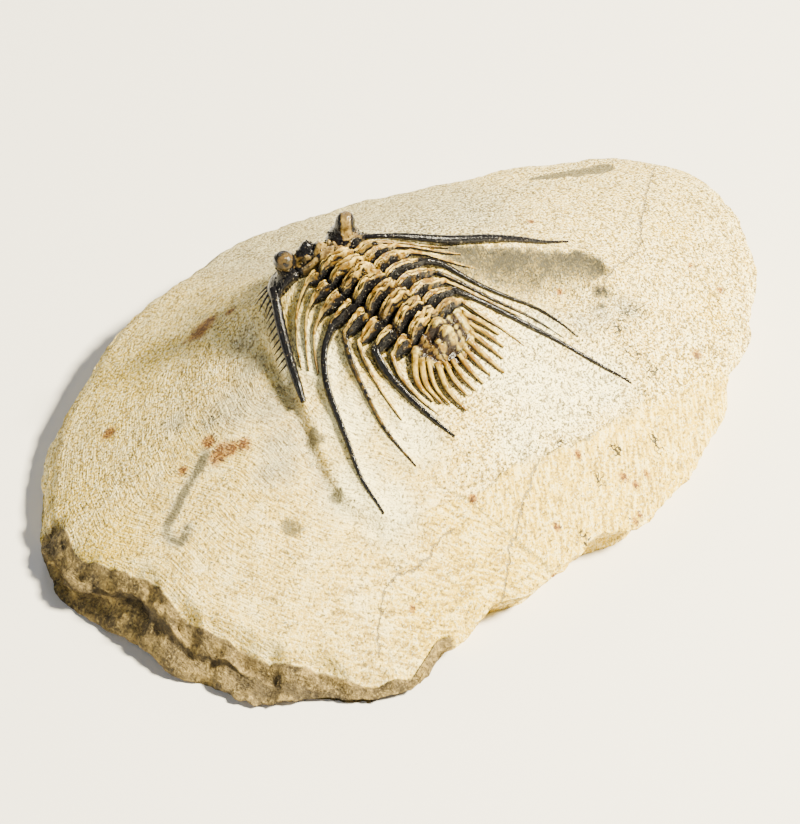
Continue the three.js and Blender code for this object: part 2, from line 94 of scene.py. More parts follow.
# The break at the lower left, in degrees round the block, and how far down its
# wall the overhang lies, as a share of the height.
BREAK_MIDDLE, BREAK_SPREAD, OVERHANG_SHARE = 192, 36, 0.16
SPALL_MIDDLE, SLAB_MIDDLE, UNDERCUT_MIDDLE = 206, 186, 169
BITE_DEPTH, SPALL_DEPTH, LOWEST_RIM = 3.2, 1.2, 0.8
# The mesh: slices round the block, rows out to the rim and rows down the wall.
SLICES, TOP_ROWS, WALL_ROWS = 490, 152, 44

# The spines that the stone was cut back from: root radius and plan points.
LEFT_SPINES = [
    (0.24, [(-14.4, 7.4), (-16.6, 5.1), (-18.0, 2.9)]),
    (0.24, [(-14.2, 6.0), (-16.2, 3.9), (-17.7, 1.9)]),
    (0.24, [(-14.5, 4.2), (-16.2, 2.4), (-17.3, 0.7)]),
    (0.42, [(-15.4, 1.6), (-17.7, -1.4), (-19.9, -7.0), (-21.3, -11.0), (-21.8, -15.2)]),
    (0.32, [(-13.9, -1.4), (-14.9, -5.0), (-15.7, -9.4), (-15.4, -14.0)]),
    (0.24, [(-12.9, -3.0), (-13.4, -6.4), (-13.5, -9.6)]),
    (0.42, [(-11.7, -4.9), (-11.4, -8.0), (-10.6, -11.5), (-9.5, -14.6)]),
    (0.26, [(-10.7, -6.6), (-10.4, -9.2), (-9.6, -12.0)]),
]
RIGHT_SPINES = [
    (0.24, [(0.6, 5.2), (3.2, 3.6), (6.0, 2.4)]),
    (0.24, [(1.5, 4.0), (4.0, 2.5), (6.9, 1.1)]),
    (0.24, [(2.3, 2.6), (4.8, 0.9), (7.6, -0.7)]),
    (0.32, [(3.6, 0.8), (6.6, -2.5), (10.8, -6.6), (12.6, -10.3), (13.4, -12.9)]),
    (0.26, [(3.7, -1.1), (6.3, -4.2), (9.6, -8.4), (11.6, -12.2)]),
    (0.24, [(3.7, -2.3), (6.0, -5.0), (8.5, -8.0)]),
    (0.36, [(4.0, -3.9), (6.8, -7.2), (10.2, -11.7), (13.4, -16.8), (15.4, -20.3)]),
    (0.26, [(3.1, -6.1), (4.6, -8.5), (5.9, -11.0)]),
]
GENAL_LEFT = [(-14.9, 10.6), (-16.5, 8.0), (-18.7, 3.8), (-20.6, -0.3)]
GENAL_RIGHT = [(-1.5, 8.4), (1.1, 6.5), (5.7, 3.6), (11.0, 1.8), (16.5, 0.4),
               (20.2, -0.4), (23.8, -1.2)]

# The prepared ground: how deep it is cut round the animal, left of it and right
# of it, and how high a ledge ends it in front. Less was cut round the tail, and
# a knob of stone was left standing.
FOSSIL_CENTRE, FOSSIL_REACH = (-3, -2), 31
BED_DEPTH, FLANK_DEPTH, HOLLOW_DEPTH, LEDGE_HEIGHT = 0.45, 1.25, 1.0, 0.7
TAIL_GROUND = (-1, -9.5, 5)
KNOB, KNOB_HEIGHT = (-8.4, -18.4, 2.4), 0.5

# Where the stone changes: plan centre and reach of each soft patch.
CHALKY = [(5, -16, 6.5), (1, -12, 5), (12, -18, 5), (-2.5, -18.6, 3.5), (-18, -5, 4),
          (-16, 1, 3.4), (-16.6, 4.0, 3), (-13, -11, 4), (-22, -11, 4), (-21, -15, 4), (9, -10, 4)]
OCHRE = [(-7, -29, 7), (-17, -28, 7), (3, -31, 8), (14, -29, 8), (-24, -26, 5),
         (24, -26, 7), (33, -18, 4), (-42, 18, 5), (-45, 8, 5), (-26, 27, 8),
         (10.6, -26.4, 4), (38, -6, 3), (-33, 21, 3), (-4.4, -27.4, 4), (16, -25, 4)]
# Grey stone, and painted shade on the steep left flank, on the far side of the top and beside the
# hollow.
GREY_AND_SHADE_PATCHES = [(-20.6, 9, 3), (-23, 3.4, 3.4), (-18.6, 12.5, 3), (-25, -1, 3.4), (-26.8, -3, 3),
          (-25, 7, 4.5), (-28.2, 8.2, 1.6), (-29.7, 13, 2), (6, 14, 6), (20, 12, 7),
          (-28.4, -2.4, 2.2), (22.2, -12.8, 2.4), (18.8, -11.8, 2.4), (15.5, -11.5, 2.4),
          (12, -9.5, 2.2), (-4, 20, 6)]
GREY_CHIP = [(21.2, -8.8, 0.8), (21.6, -9.6, 0.9), (20.6, -9.3, 0.6), (19.8, -10.8, 0.5)]
RUSTY = [(-16.7, 21.1, 1.3), (-15.2, 18.9, 0.9), (-27.9, 2.4, 1.3), (-29.0, 3.2, 1.4),
         (-33.9, 6.8, 1.0), (-30.2, 4.2, 1.8), (-29.9, 6.4, 1.4), (-33.6, 21.0, 1.4),
         (4.6, -31.6, 0.7), (6.4, -27.9, 0.8), (7.3, -29.0, 0.7), (9.4, -28.7, 0.7),
         (5.5, -31.4, 0.6), (1.6, -32.2, 0.8), (-5.2, -27.7, 0.7), (2.4, -23.7, 0.7),
         (-12.4, -20.6, 0.7), (26.6, -21.2, 1.0), (-25.3, -23.6, 0.6), (36.5, -16.0, 0.8),
         (35.5, -11.7, 0.6), (-18.2, 21.3, 2.2), (17.3, -6.0, 0.6), (-1.4, -2.5, 0.6),
         (24.0, 5.5, 0.8)]
BLACK_SPECKS = [(18.5, -20.5, 1.6), (13.0, -26.8, 1.8), (3.2, -26.7, 1.4), (19.1, -14.7, 2.2),
                (23.7, -13.8, 2.0), (7.4, -25.2, 1.4), (15.9, -21.3, 1.2), (-2.6, -29.9, 1.2),
                (-12.6, -32.3, 1.0), (-34.6, 8.3, 1.2), (21.4, -9.1, 1.1), (-27.6, 7.9, 1.6),
                (21.3, -13.5, 1.7), (18.6, -17.6, 1.8), (19.2, -20.3, 1.8), (1.7, -21.3, 1.2)]
BROWN_STAINS = [(-22.0, -3.4, 1.3), (-21.6, -4.4, 1.0), (-24.4, -9.7, 1.2), (-30.5, -8.7, 1.8)]

# Lines on the stone, as given plan points.
HOOKED_SMEAR = [(-31.3, 5.7), (-33.6, 5.0), (-36.1, 4.5), (-38.4, 3.7), (-40.1, 2.9),
                (-40.5, 1.4), (-39.9, 0.3), (-38.5, 0.9)]
DARK_OVAL = [(34.5, 15.0), (37.4, 13.2), (40.0, 12.1), (42.1, 11.2), (43.6, 11.0)]
HOLLOW_EDGE = [(4.5, 4.9), (7.2, 3.3), (10.6, 1.8), (14.4, 0.2), (18.2, -1.0), (21.8, -2.4),
               (24.4, -4.6), (25.4, -7.2), (25.2, -9.4)]
FLANK_EDGE = [(-6.3, 18.9), (-10.6, 14.6), (-14.8, 10.2), (-17.6, 5.0), (-20.3, 0.4),
              (-21.9, -3.4), (-23.3, -7.5), (-23.9, -11.6), (-22.7, -14.6), (-20.4, -16.9)]
GROUND_EDGE = [(-20.4, -16.9), (-18.3, -17.9), (-16.0, -18.6), (-12.9, -19.6), (-10.5, -20.6),
               (-7.5, -20.4), (-3.9, -20.4), (-1.5, -21.3), (0.7, -22.1), (4.6, -22.8),
               (9.3, -22.7), (14.9, -22.2)]
GLUED_CRACKS = [
    [(49.2, 6.8), (43.9, 2.9), (40.2, 0.5), (35.8, -2.8), (32.7, -5.5), (29.3, -7.1),
     (26.1, -7.7), (22.9, -8.6), (21.2, -9.3)],
    [(-2.3, -21.2), (-4.8, -23.0), (-7.0, -23.9), (-8.5, -24.8), (-10.5, -25.7),
     (-11.5, -26.1), (-13.4, -27.6), (-15.5, -28.9), (-17.3, -30.1), (-18.5, -30.8)],
    [(-16.0, -21.3), (-17.6, -21.2), (-19.6, -21.0), (-20.5, -21.6), (-21.8, -21.3),
     (-23.7, -20.8), (-26.2, -20.3), (-27.9, -21.2), (-29.2, -22.2), (-31.7, -24.3)],
]
# A line is felt within a reach, and points beyond its span are left out.
LINE_STEP, LINE_REACH, LINE_SPAN = 0.3, 9.0, 28
# Width, length and height of the tool strokes.
LONG_STROKE, COMBED_STROKE = (0.1818, 3.333, 1.0), (0.3704, 2.381, 2.0)


def bell(value, width):
    return np.exp(-((value / width) ** 2))


def smooth_step(low, high, value):
    f = np.clip((value - low) / (high - low), 0, 1)
    return f * f * (3 - 2 * f)


def around_the_block(pairs, degrees):
    """Smooth value at each angle from a closed list of (degrees, value) pairs."""
    angles = np.array([pair[0] for pair in pairs], float)
    values = np.array([pair[1] for pair in pairs], float)
    degrees = np.mod(degrees, 360)
    after = np.searchsorted(angles, degrees, side="right") % len(pairs)
    before = after - 1
    span = np.mod(angles[after] - angles[before], 360)
    f = np.mod(degrees - angles[before], 360) / span
    f = f * f * (3 - 2 * f) * 0.5 + f * 0.5
    return values[before] + (values[after] - values[before]) * f


def block_radius(degrees):
    a = np.radians(degrees)
    ragged = 0.35 * np.sin(13 * a + 1) + 0.3 * np.sin(23 * a + 2.3)
    return around_the_block(BLOCK_OUTLINE, degrees) + ragged


def dome_fall(distance, ahead, behind):
    soft = np.hypot(distance, DOME_SOFTNESS) - DOME_SOFTNESS
    fall = [flank_shade * (soft / reach) ** power for flank_shade, reach, power in (ahead, behind)]
    return np.where(distance > 0, fall[0], fall[1])


def stone_top(x, y):
    """Height of the finished stone surface over plan points."""
    c, s = math.cos(math.radians(DOME_TURN)), math.sin(math.radians(DOME_TURN))
    z = CROWN_HEIGHT - dome_fall(x * c + y * s, FALL_RIGHT, FALL_LEFT)
    z = z - dome_fall(-x * s + y * c, FALL_BACK, FALL_FRONT)
    for px, py, height, along, across, turn in SWELLS:
        c, s = math.cos(math.radians(turn)), math.sin(math.radians(turn))
        u = (x - px) * c + (y - py) * s
        v = -(x - px) * s + (y - py) * c
        z = z + height * bell(u, along) * bell(v, across)
    reach = np.hypot(x - STEP_CENTRE[0], y - STEP_CENTRE[1]) - STEP_RADIUS
    degrees = np.mod(np.degrees(np.arctan2(y - STEP_CENTRE[1], x - STEP_CENTRE[0])), 360)
    rise = STEP_HEIGHT * bell(degrees - 262, 36) * smooth_step(-1.2, 1.2, reach)
    z = z + rise * np.exp(-np.maximum(reach, 0) / 9)
    return THINNEST_EDGE + np.log1p(np.exp(z - THINNEST_EDGE))


def smooth_path(points, spacing):
    """Evenly spaced plan points on a smooth curve through a few given ones."""
    p = np.array(points, float)
    p = np.vstack([2 * p[0] - p[1], p, 2 * p[-1] - p[-2]])
    fine = []
    for a, b, c, d in zip(p, p[1:], p[2:], p[3:]):
        for f in np.linspace(0, 1, 24, endpoint=False):
            fine.append(0.5 * (2 * b + (c - a) * f + (2 * a - 5 * b + 4 * c - d) * f * f
                               + (3 * b - a - 3 * c + d) * f ** 3))
    fine = np.array(fine + [p[-2]])
    length = np.concatenate([[0], np.cumsum(np.hypot(*np.diff(fine, axis=0).T))])
    count = max(3, int(length[-1] / spacing) + 1)
    at = np.linspace(0, length[-1], count)
    return np.stack([np.interp(at, length, fine[:, 0]), np.interp(at, length, fine[:, 1])], 1)


def near_patches(patches, x, y):
    """Soft mask of round patches, 1 at a centre."""
    mask = np.zeros_like(x)
    for px, py, reach in patches:
        mask = np.maximum(mask, np.exp(-((x - px) ** 2 + (y - py) ** 2) / reach ** 2))
    return mask


def plan_tree(points):
    """A search tree of plan points, to find the one nearest to a place."""
    tree = KDTree(len(points))
    for index, (px, py) in enumerate(points):
        tree.insert((px, py, 0), index)
    tree.balance()
    return tree


def signed_distance(line, x, y):
    """Distance to a plan line, its side as the sign, and a share that fades to its ends."""
    path = smooth_path(line, LINE_STEP)
    tree = plan_tree(path)
    distance, share = np.full_like(x, LINE_REACH), np.zeros_like(x)
    middle = path.mean(axis=0)
    for i in np.nonzero(np.hypot(x - middle[0], y - middle[1]) < LINE_SPAN)[0]:
        _, k, d = tree.find((x[i], y[i], 0))
        if d < LINE_REACH:
            k = min(k, len(path) - 2)
            tx, ty = path[k + 1] - path[k]
            side = tx * (y[i] - path[k][1]) - ty * (x[i] - path[k][0])
            off = (x[i] - path[k][0]) * tx + (y[i] - path[k][1]) * ty
            beyond = (k == 0 and off < 0) or (k == len(path) - 2 and off > tx * tx + ty * ty)
            if not beyond:
                distance[i] = side / math.hypot(tx, ty)
                share[i] = min(1, LINE_STEP * min(k, len(path) - 1 - k) / 3)
    return distance, share * smooth_step(LINE_REACH, LINE_REACH - 2, np.abs(distance))


def rough(x, y, z, size, octaves=3):
    """Natural roughness at each point, about -1 to 1, for lumps of a size in mm."""
    return np.array([
        noise.fractal(Vector(p) / size, 1.0, 2.1, octaves, noise_basis="PERLIN_ORIGINAL")
        for p in zip(x.tolist(), y.tolist(), z.tolist())
    ])


def from_fossil(x, y):
    return np.hypot(x - FOSSIL_CENTRE[0], y - FOSSIL_CENTRE[1])


def spine_ground(x, y):
    """How near each plan point is to a spine: 1 under it, 0 well away."""
    paths = [path for _, path in LEFT_SPINES + RIGHT_SPINES] + [GENAL_LEFT, GENAL_RIGHT]
    tree = plan_tree(np.vstack([smooth_path(path, 0.2) for path in paths]))
    near = np.zeros_like(x)
    for i in np.nonzero(from_fossil(x, y) < FOSSIL_REACH)[0]:
        near[i] = math.exp(-((tree.find((x[i], y[i], 0))[2] / 0.75) ** 2))
    return near


def ground_ledge(x, y):
    """Distance to the ragged lip of the prepared ground, its side as the sign."""
    ledge, share = signed_distance(GROUND_EDGE, x, y)
    return ledge + 0.5 * rough(x, y, x * 0, 1.6), share


def worked_stone(x, y):
    """The stone's height with the hand-made relief that the solid leaves out."""
    z = stone_top(x, y)
    # The ground between the spines is sunk, which leaves each spine on its own ridge.
    clear = 1 - spine_ground(x, y)
    bed = 1 - smooth_step(21, 28, from_fossil(x, y))
    bed = bed * (1 - 0.7 * near_patches([TAIL_GROUND], x, y))
    z = z - BED_DEPTH * bed * clear
    # Left of the animal the ground drops away, and right of it lies a long hollow.
    flank, share = signed_distance(FLANK_EDGE, x, y)
    z = z - FLANK_DEPTH * share * smooth_step(-0.3, 0.9, -flank) * np.exp(-np.abs(flank) / 3.3)
    away, share = signed_distance(HOLLOW_EDGE, x, y)
    z = z - HOLLOW_DEPTH * share * smooth_step(0, 1.6, -away) * bell(away, 5) * clear
    # In front the prepared ground ends in a low step, with a knob of stone left on it.
    ledge, share = ground_ledge(x, y)
    z = z + LEDGE_HEIGHT * share * smooth_step(-0.25, 0.3, -ledge) * np.exp(-np.abs(ledge) / 3)
    z = z + KNOB_HEIGHT * near_patches([KNOB], x, y)
    return z + 0.16 * rough(x, y, z, 5) + 0.05 * rough(x, y, z, 1.3)


def top_rows(degrees):
    """The rim's radius, and rows of points from the middle of the top out to it."""
    a = np.radians(degrees)
    rim = block_radius(degrees)
    broken = bell(degrees - BREAK_MIDDLE, BREAK_SPREAD)
    bites = rough(rim * np.cos(a), rim * np.sin(a), a * 0, 1.6, 4)
    rim = rim + (0.28 + 0.3 * broken) * bites - 0.9 * broken * np.maximum(bites, 0)
    shares = 1 - (1 - np.linspace(0.004, 1, TOP_ROWS)) ** 1.15
    x = (shares[:, None] * rim * np.cos(a)).ravel()
    y = (shares[:, None] * rim * np.sin(a)).ravel()
    z = worked_stone(x, y)
    # Small chips lie all along the rim, deep bites and a spalled scar at the break.
    near_rim = np.repeat(shares, SLICES)
    z = z - smooth_step(0.968, 1, near_rim) * (0.25 + 0.45 * np.abs(rough(x, y, z, 2.2)))
    shatter = rough(x, y, z * 0, 3.4, 4) + 0.35
    bitten = np.tile(broken, TOP_ROWS) * smooth_step(0.93, 1, near_rim)
    z = z - BITE_DEPTH * bitten * np.clip(shatter, 0, 1)
    spalled = np.tile(bell(degrees - SPALL_MIDDLE, 15), TOP_ROWS)
    z = z - SPALL_DEPTH * spalled * smooth_step(0.945, 0.97, near_rim + 0.02 * shatter)
    z = np.maximum(z, LOWEST_RIM + 0.4 * np.abs(shatter))
    return rim, np.stack([x, y, z], 1)


def wall_rows(degrees, rim, rim_height):
    """Rows of points from below the rim down to the foot, roughest at the break."""
    a = np.radians(degrees)
    broken = bell(degrees - BREAK_MIDDLE, BREAK_SPREAD)
    foot = around_the_block(WALL_FOOT, degrees)
    rows = []
    above = 0 * degrees
    for share in np.linspace(0, 1, WALL_ROWS + 1)[1:]:
        ledge = np.sin(7 * a + 5 * share) + 0.8 * np.sin(17 * a + 2 + 4 * share)
        relief = (0.25 + 0.55 * bell(degrees - 195, 45)) * ledge * math.sin(math.pi * share)
        r = rim + foot * math.sin(share * math.pi / 2) + relief
        height = rim_height * (1 - share)
        px, py = r * np.cos(a), r * np.sin(a)
        lumps = 1.9 * rough(px, py, height * 1.8, 6.0, 2)
        facets = 1.3 * np.abs(rough(px + 40, py, height * 1.3, 2.6, 3)) - 0.4
        flakes = 0.45 * rough(px, py + 30, height * 1.2, 0.8, 3)
        # A smoother slab stands out below an overhang.
        slab = bell(degrees - SLAB_MIDDLE, 13) * smooth_step(0.2, 0.4, share)
        overhang = bell(degrees - SLAB_MIDDLE, 17) * bell(share - OVERHANG_SHARE, 0.1)
        shift = (0.25 + 0.85 * broken) * (lumps - 1.2 * facets + flakes) * (1 - 0.7 * slab)
        shift = (shift - 0.3 - 0.6 * overhang + 0.8 * slab) * min(1, 8 * share)
        # A row never steps in far below the one above it, which would cut a slit.
        shift = np.maximum(shift, above - 0.01 - 0.3 * bell(degrees - UNDERCUT_MIDDLE, 7))
        above = shift
        r = r + shift * min(1, 10 * (1 - share))
        rows.append(np.stack([r * np.cos(a), r * np.sin(a), height], 1))
    return np.vstack(rows)


def ring_faces(rings, sides):
    """Four-sided faces between closed rings of points that follow each other."""
    faces = []
    for row in range(rings - 1):
        a, b = row * sides, (row + 1) * sides
        faces += [(a + i, b + i, b + (i + 1) % sides, a + (i + 1) % sides) for i in range(sides)]
    return faces


def add_piece(name, points, faces, marks):
    """A mesh from millimetres about the fossil's axis, set in the frame, faces outwards."""
    placed = (np.asarray(points, float) - (MIDDLE[0], MIDDLE[1], 0)) * MM
    mesh = bpy.data.meshes.new(name)
    mesh.from_pydata(placed.tolist(), [], faces)
    shape = bmesh.new()
    shape.from_mesh(mesh)
    bmesh.ops.recalc_face_normals(shape, faces=shape.faces)
    shape.to_mesh(mesh)
    shape.free()
    for mark, values in marks.items():
        layer = mesh.attributes.new(mark, "FLOAT", "POINT")
        layer.data.foreach_set("value", np.asarray(values, float))
    mesh.polygons.foreach_set("use_smooth", [True] * len(mesh.polygons))
    made = bpy.data.objects.new(name, mesh)
    bpy.context.scene.collection.objects.link(made)
    return made


def linear(code):
    """A colour written as sRGB hex, in the linear values that shaders take."""
    parts = [int(code[i:i + 2], 16) / 255 for i in (1, 3, 5)]
    parts = [p / 12.92 if p <= 0.04045 else ((p + 0.055) / 1.055) ** 2.4 for p in parts]
    return (*parts, 1.0)


def add_node(tree, kind, inputs, **settings):
    """One node with its settings; an input is another node's output or a value."""
    made = tree.nodes.new(kind)
    for name, value in settings.items():
        setattr(made, name, value)
    for key, value in inputs.items():
        if isinstance(value, bpy.types.NodeSocket):
            tree.links.new(value, made.inputs[key])
        else:
            made.inputs[key].default_value = value
    return made


def lay_colour(tree, base, mask, low, high, strength, code):
    """A colour laid over the base where a mask goes from low to high."""
    shown = add_node(tree, "ShaderNodeMapRange",
                     {"Value": mask, "From Min": low, "From Max": high, "To Max": strength},
                     interpolation_type="SMOOTHSTEP").outputs[0]
    return add_node(tree, "ShaderNodeMix", {0: shown, 6: base, 7: linear(code)},
                    data_type="RGBA").outputs[2]


def limestone_material():
    """Fine marine limestone, ground with a coarse tool and then air-abraded."""
    # It is matt and chalky to the eye, without any gloss. What shows is fine grain,
    # combed tool strokes, ochre and rust from iron, and black specks of manganese.
    made = bpy.data.materials.new("prepared_limestone")
    made.use_nodes = True
    tree = made.node_tree
    shader = tree.nodes["Principled BSDF"]
    place = add_node(tree, "ShaderNodeTexCoord", {}).outputs["Object"]
    mark = {
        name: add_node(tree, "ShaderNodeAttribute", {}, attribute_name=name).outputs["Fac"]
        for name in ("chalky", "ochre", "grey_and_shade", "deep_shade_and_grey", "rusty", "specks", "stained", "broken",
                     "overhang_shadow", "crack", "combed", "comb_turn", "peppered", "across", "along")
    }
    # Natural variation at 14 and 2.6 mm, and grains of 0.38 and 0.22 mm. The real
    # silt is finer than that, and is drawn this coarse so that it shows.
    cloud, mottle, grain, pepper = [
        add_node(tree, "ShaderNodeTexNoise",
                 {"Vector": place, "Scale": 1 / (size * MM), "Detail": detail,
                  "Roughness": 0.65}).outputs["Fac"]
        for size, detail in ((14, 5.0), (2.6, 7.0), (0.38, 1.0), (0.22, 0.5))
    ]

    # Tool strokes: long ones that follow the outline, and short combed ones whose
    # direction changes a little from patch to patch of 8 mm.
    sweep = add_node(tree, "ShaderNodeCombineXYZ",
                     {"X": mark["across"], "Y": mark["along"]}).outputs[0]
    sweep = add_node(tree, "ShaderNodeMapping",
                     {"Vector": sweep, "Scale": [1 / size for size in LONG_STROKE]})
    strokes = add_node(tree, "ShaderNodeTexNoise",
                       {"Vector": sweep.outputs[0], "Scale": 1.0, "Detail": 2.0}).outputs["Fac"]
    cells = add_node(tree, "ShaderNodeTexVoronoi", {"Vector": place, "Scale": 1 / (8 * MM)})
    turn = add_node(tree, "ShaderNodeMath",
                    {0: cells.outputs["Color"], 1: 0.5, 2: mark["comb_turn"]},
                    operation="MULTIPLY_ADD").outputs[0]
    turned = add_node(tree, "ShaderNodeVectorRotate", {"Vector": place, "Angle": turn},
                      rotation_type="Z_AXIS").outputs[0]
    turned = add_node(tree, "ShaderNodeMapping",
                      {"Vector": turned,
                       "Scale": [1 / (size * MM) for size in COMBED_STROKE]}).outputs[0]
    combs = add_node(tree, "ShaderNodeTexNoise",
                     {"Vector": turned, "Scale": 1.0, "Detail": 1.0}).outputs["Fac"]
    tooling = add_node(tree, "ShaderNodeMix",
                       {0: mark["combed"], 2: strokes, 3: combs}).outputs[0]

    # The grains stand out most on the air-abraded right side.
    shown = []
    for fine in (grain, pepper):
        fine = add_node(tree, "ShaderNodeMath", {0: fine, 1: 0.5}, operation="SUBTRACT").outputs[0]
        shown.append(add_node(tree, "ShaderNodeMath", {0: fine, 1: mark["peppered"], 2: 0.5},
                              operation="MULTIPLY_ADD").outputs[0])
    shown_grain, shown_pepper = shown

    base = add_node(tree, "ShaderNodeMix", {0: cloud, 6: linear("#dcc260"), 7: linear("#cca942")},
                    data_type="RGBA").outputs[2]
    for layer in (
        (mottle, 0.5, 0.64, 0.7, "#ecd992"),
        (mottle, 0.48, 0.38, 0.6, "#a08a48"),
        (mark["ochre"], 0.1, 1.0, 0.85, "#d2b01f"),
        # Grey stone, with painted shade laid on the left flank and the far side of the top.
        (mark["grey_and_shade"], 0.05, 0.9, 0.7, "#7f8178"),
        (mark["chalky"], 0.15, 0.9, 0.7, "#f6f0ba"),
        (tooling, 0.52, 0.64, 0.5, "#f9e8a0"),
        (tooling, 0.47, 0.36, 0.55, "#7d652c"),
        (shown_grain, 0.52, 0.64, 0.75, "#fff2b2"),
        (shown_pepper, 0.58, 0.72, 0.7, "#fffae0"),
        # Painted shade in the hollow and a painted shadow line along the ledge's lip, with the
        # dark grey chip.
        (mark["deep_shade_and_grey"], 0.0, 1.15, 0.85, "#454236"),
        (shown_grain, 0.48, 0.35, 0.85, "#5f5533"),
        (shown_pepper, 0.42, 0.3, 0.9, "#33311f"),
    ):
        base = lay_colour(tree, base, *layer)

    # Stains, specks and the grains of the painted shade: a soft patch only lowers the level at
    # which noise shows. The black growths of manganese run in short crooked lines, 0.9 mm apart.
    veins = add_node(tree, "ShaderNodeTexNoise",
                     {"Vector": place, "Scale": 1 / (0.9 * MM), "Detail": 1.0}).outputs["Fac"]
    veins = add_node(tree, "ShaderNodeMath", {0: veins, 1: 0.5}, operation="SUBTRACT").outputs[0]
    veins = add_node(tree, "ShaderNodeMath", {0: veins}, operation="ABSOLUTE").outputs[0]
    veins = add_node(tree, "ShaderNodeMath", {0: 0.5, 1: veins}, operation="SUBTRACT").outputs[0]
    for patch, share, breaker, *layer in (
        (mark["rusty"], 0.6, mottle, 0.75, 1.05, 0.75, "#8a5a18"),
        (mark["rusty"], 0.5, grain, 0.84, 0.98, 0.85, "#45200a"),
        (mark["specks"], 0.12, veins, 0.56, 0.58, 0.95, "#1d1a14"),
        (mark["chalky"], 0.06, veins, 0.54, 0.565, 0.4, "#8a8570"),
        (mark["specks"], 0.2, grain, 0.8, 0.86, 0.8, "#26221c"),
        # Dark grains in the painted shade and in the grey, shaded ground.
        (mark["deep_shade_and_grey"], 0.3, grain, 0.62, 0.82, 0.8, "#24221a"),
        (mark["deep_shade_and_grey"], 0.2, mottle, 0.62, 0.8, 0.3, "#2d2b22"),
        (mark["grey_and_shade"], 0.18, grain, 0.62, 0.8, 0.35, "#43443a"),
        (mark["stained"], 0.8, mottle, 0.75, 0.95, 0.85, "#4f4933"),
    ):
        mask = add_node(tree, "ShaderNodeMath", {0: patch, 1: share, 2: breaker},
                        operation="MULTIPLY_ADD").outputs[0]
        base = lay_colour(tree, base, mask, *layer)

    # The raw break: grey-brown with tan and pale crystalline faces.
    raw = add_node(tree, "ShaderNodeMix", {0: cloud, 6: linear("#5c4e32"), 7: linear("#7c6a3c")},
                   data_type="RGBA").outputs[2]
    for layer in (
        (mottle, 0.52, 0.64, 0.7, "#a58c4e"),
        (mottle, 0.48, 0.4, 0.75, "#3a3120"),
        (grain, 0.54, 0.68, 0.35, "#bfa868"),
        (grain, 0.46, 0.33, 0.5, "#2a2418"),
        # Painted shadow under the overhang of the rim.
        (mark["overhang_shadow"], 0.2, 0.8, 0.7, "#2f281c"),
    ):
        raw = lay_colour(tree, raw, *layer)
    raw_mask = add_node(tree, "ShaderNodeMath", {0: mottle, 1: 0.5, 2: mark["broken"]},
                        operation="MULTIPLY_ADD").outputs[0]
    raw_mask = add_node(tree, "ShaderNodeMapRange",
                        {"Value": raw_mask, "From Min": 0.55, "From Max": 0.75},
                        interpolation_type="SMOOTHSTEP").outputs[0]
    base = add_node(tree, "ShaderNodeMix", {0: raw_mask, 6: base, 7: raw},
                    data_type="RGBA").outputs[2]

    # Glued cracks: a thin line on each, which wanders up to a millimetre.
    wander = add_node(tree, "ShaderNodeMath", {0: mottle, 1: 0.5}, operation="SUBTRACT").outputs[0]
    wander = add_node(tree, "ShaderNodeMath", {0: wander, 1: 2.4, 2: mark["crack"]},
                      operation="MULTIPLY_ADD").outputs[0]
    wander = add_node(tree, "ShaderNodeMath", {0: wander}, operation="ABSOLUTE").outputs[0]
    crack = add_node(tree, "ShaderNodeMapRange",
                     {"Value": wander, "From Min": 0.16, "From Max": 0.03, "To Max": 0.7},
                     interpolation_type="SMOOTHSTEP").outputs[0]
    base = add_node(tree, "ShaderNodeMix", {0: crack, 6: base, 7: linear("#6f6450")},
                    data_type="RGBA").outputs[2]
    tree.links.new(base, shader.inputs["Base Color"])

    # Strokes and grains stand up as fine relief, and the break's crystals far more.
    relief = add_node(tree, "ShaderNodeMix", {0: 0.55, 2: tooling, 3: grain}).outputs[0]
    relief = add_node(tree, "ShaderNodeMath", {0: crack, 1: -0.6, 2: relief},
                      operation="MULTIPLY_ADD").outputs[0]
    jagged = add_node(tree, "ShaderNodeMath", {0: mottle, 1: raw_mask}, operation="MULTIPLY")
    relief = add_node(tree, "ShaderNodeMath", {0: jagged.outputs[0], 1: 4.0, 2: relief},
                      operation="MULTIPLY_ADD").outputs[0]
    bump = add_node(tree, "ShaderNodeBump",
                    {"Height": relief, "Distance": 0.35 * MM, "Strength": 1.0}).outputs[0]
    tree.links.new(bump, shader.inputs["Normal"])
    shader.inputs["Roughness"].default_value = 0.88
    shader.inputs["Specular IOR Level"].default_value = 0.3
    return made


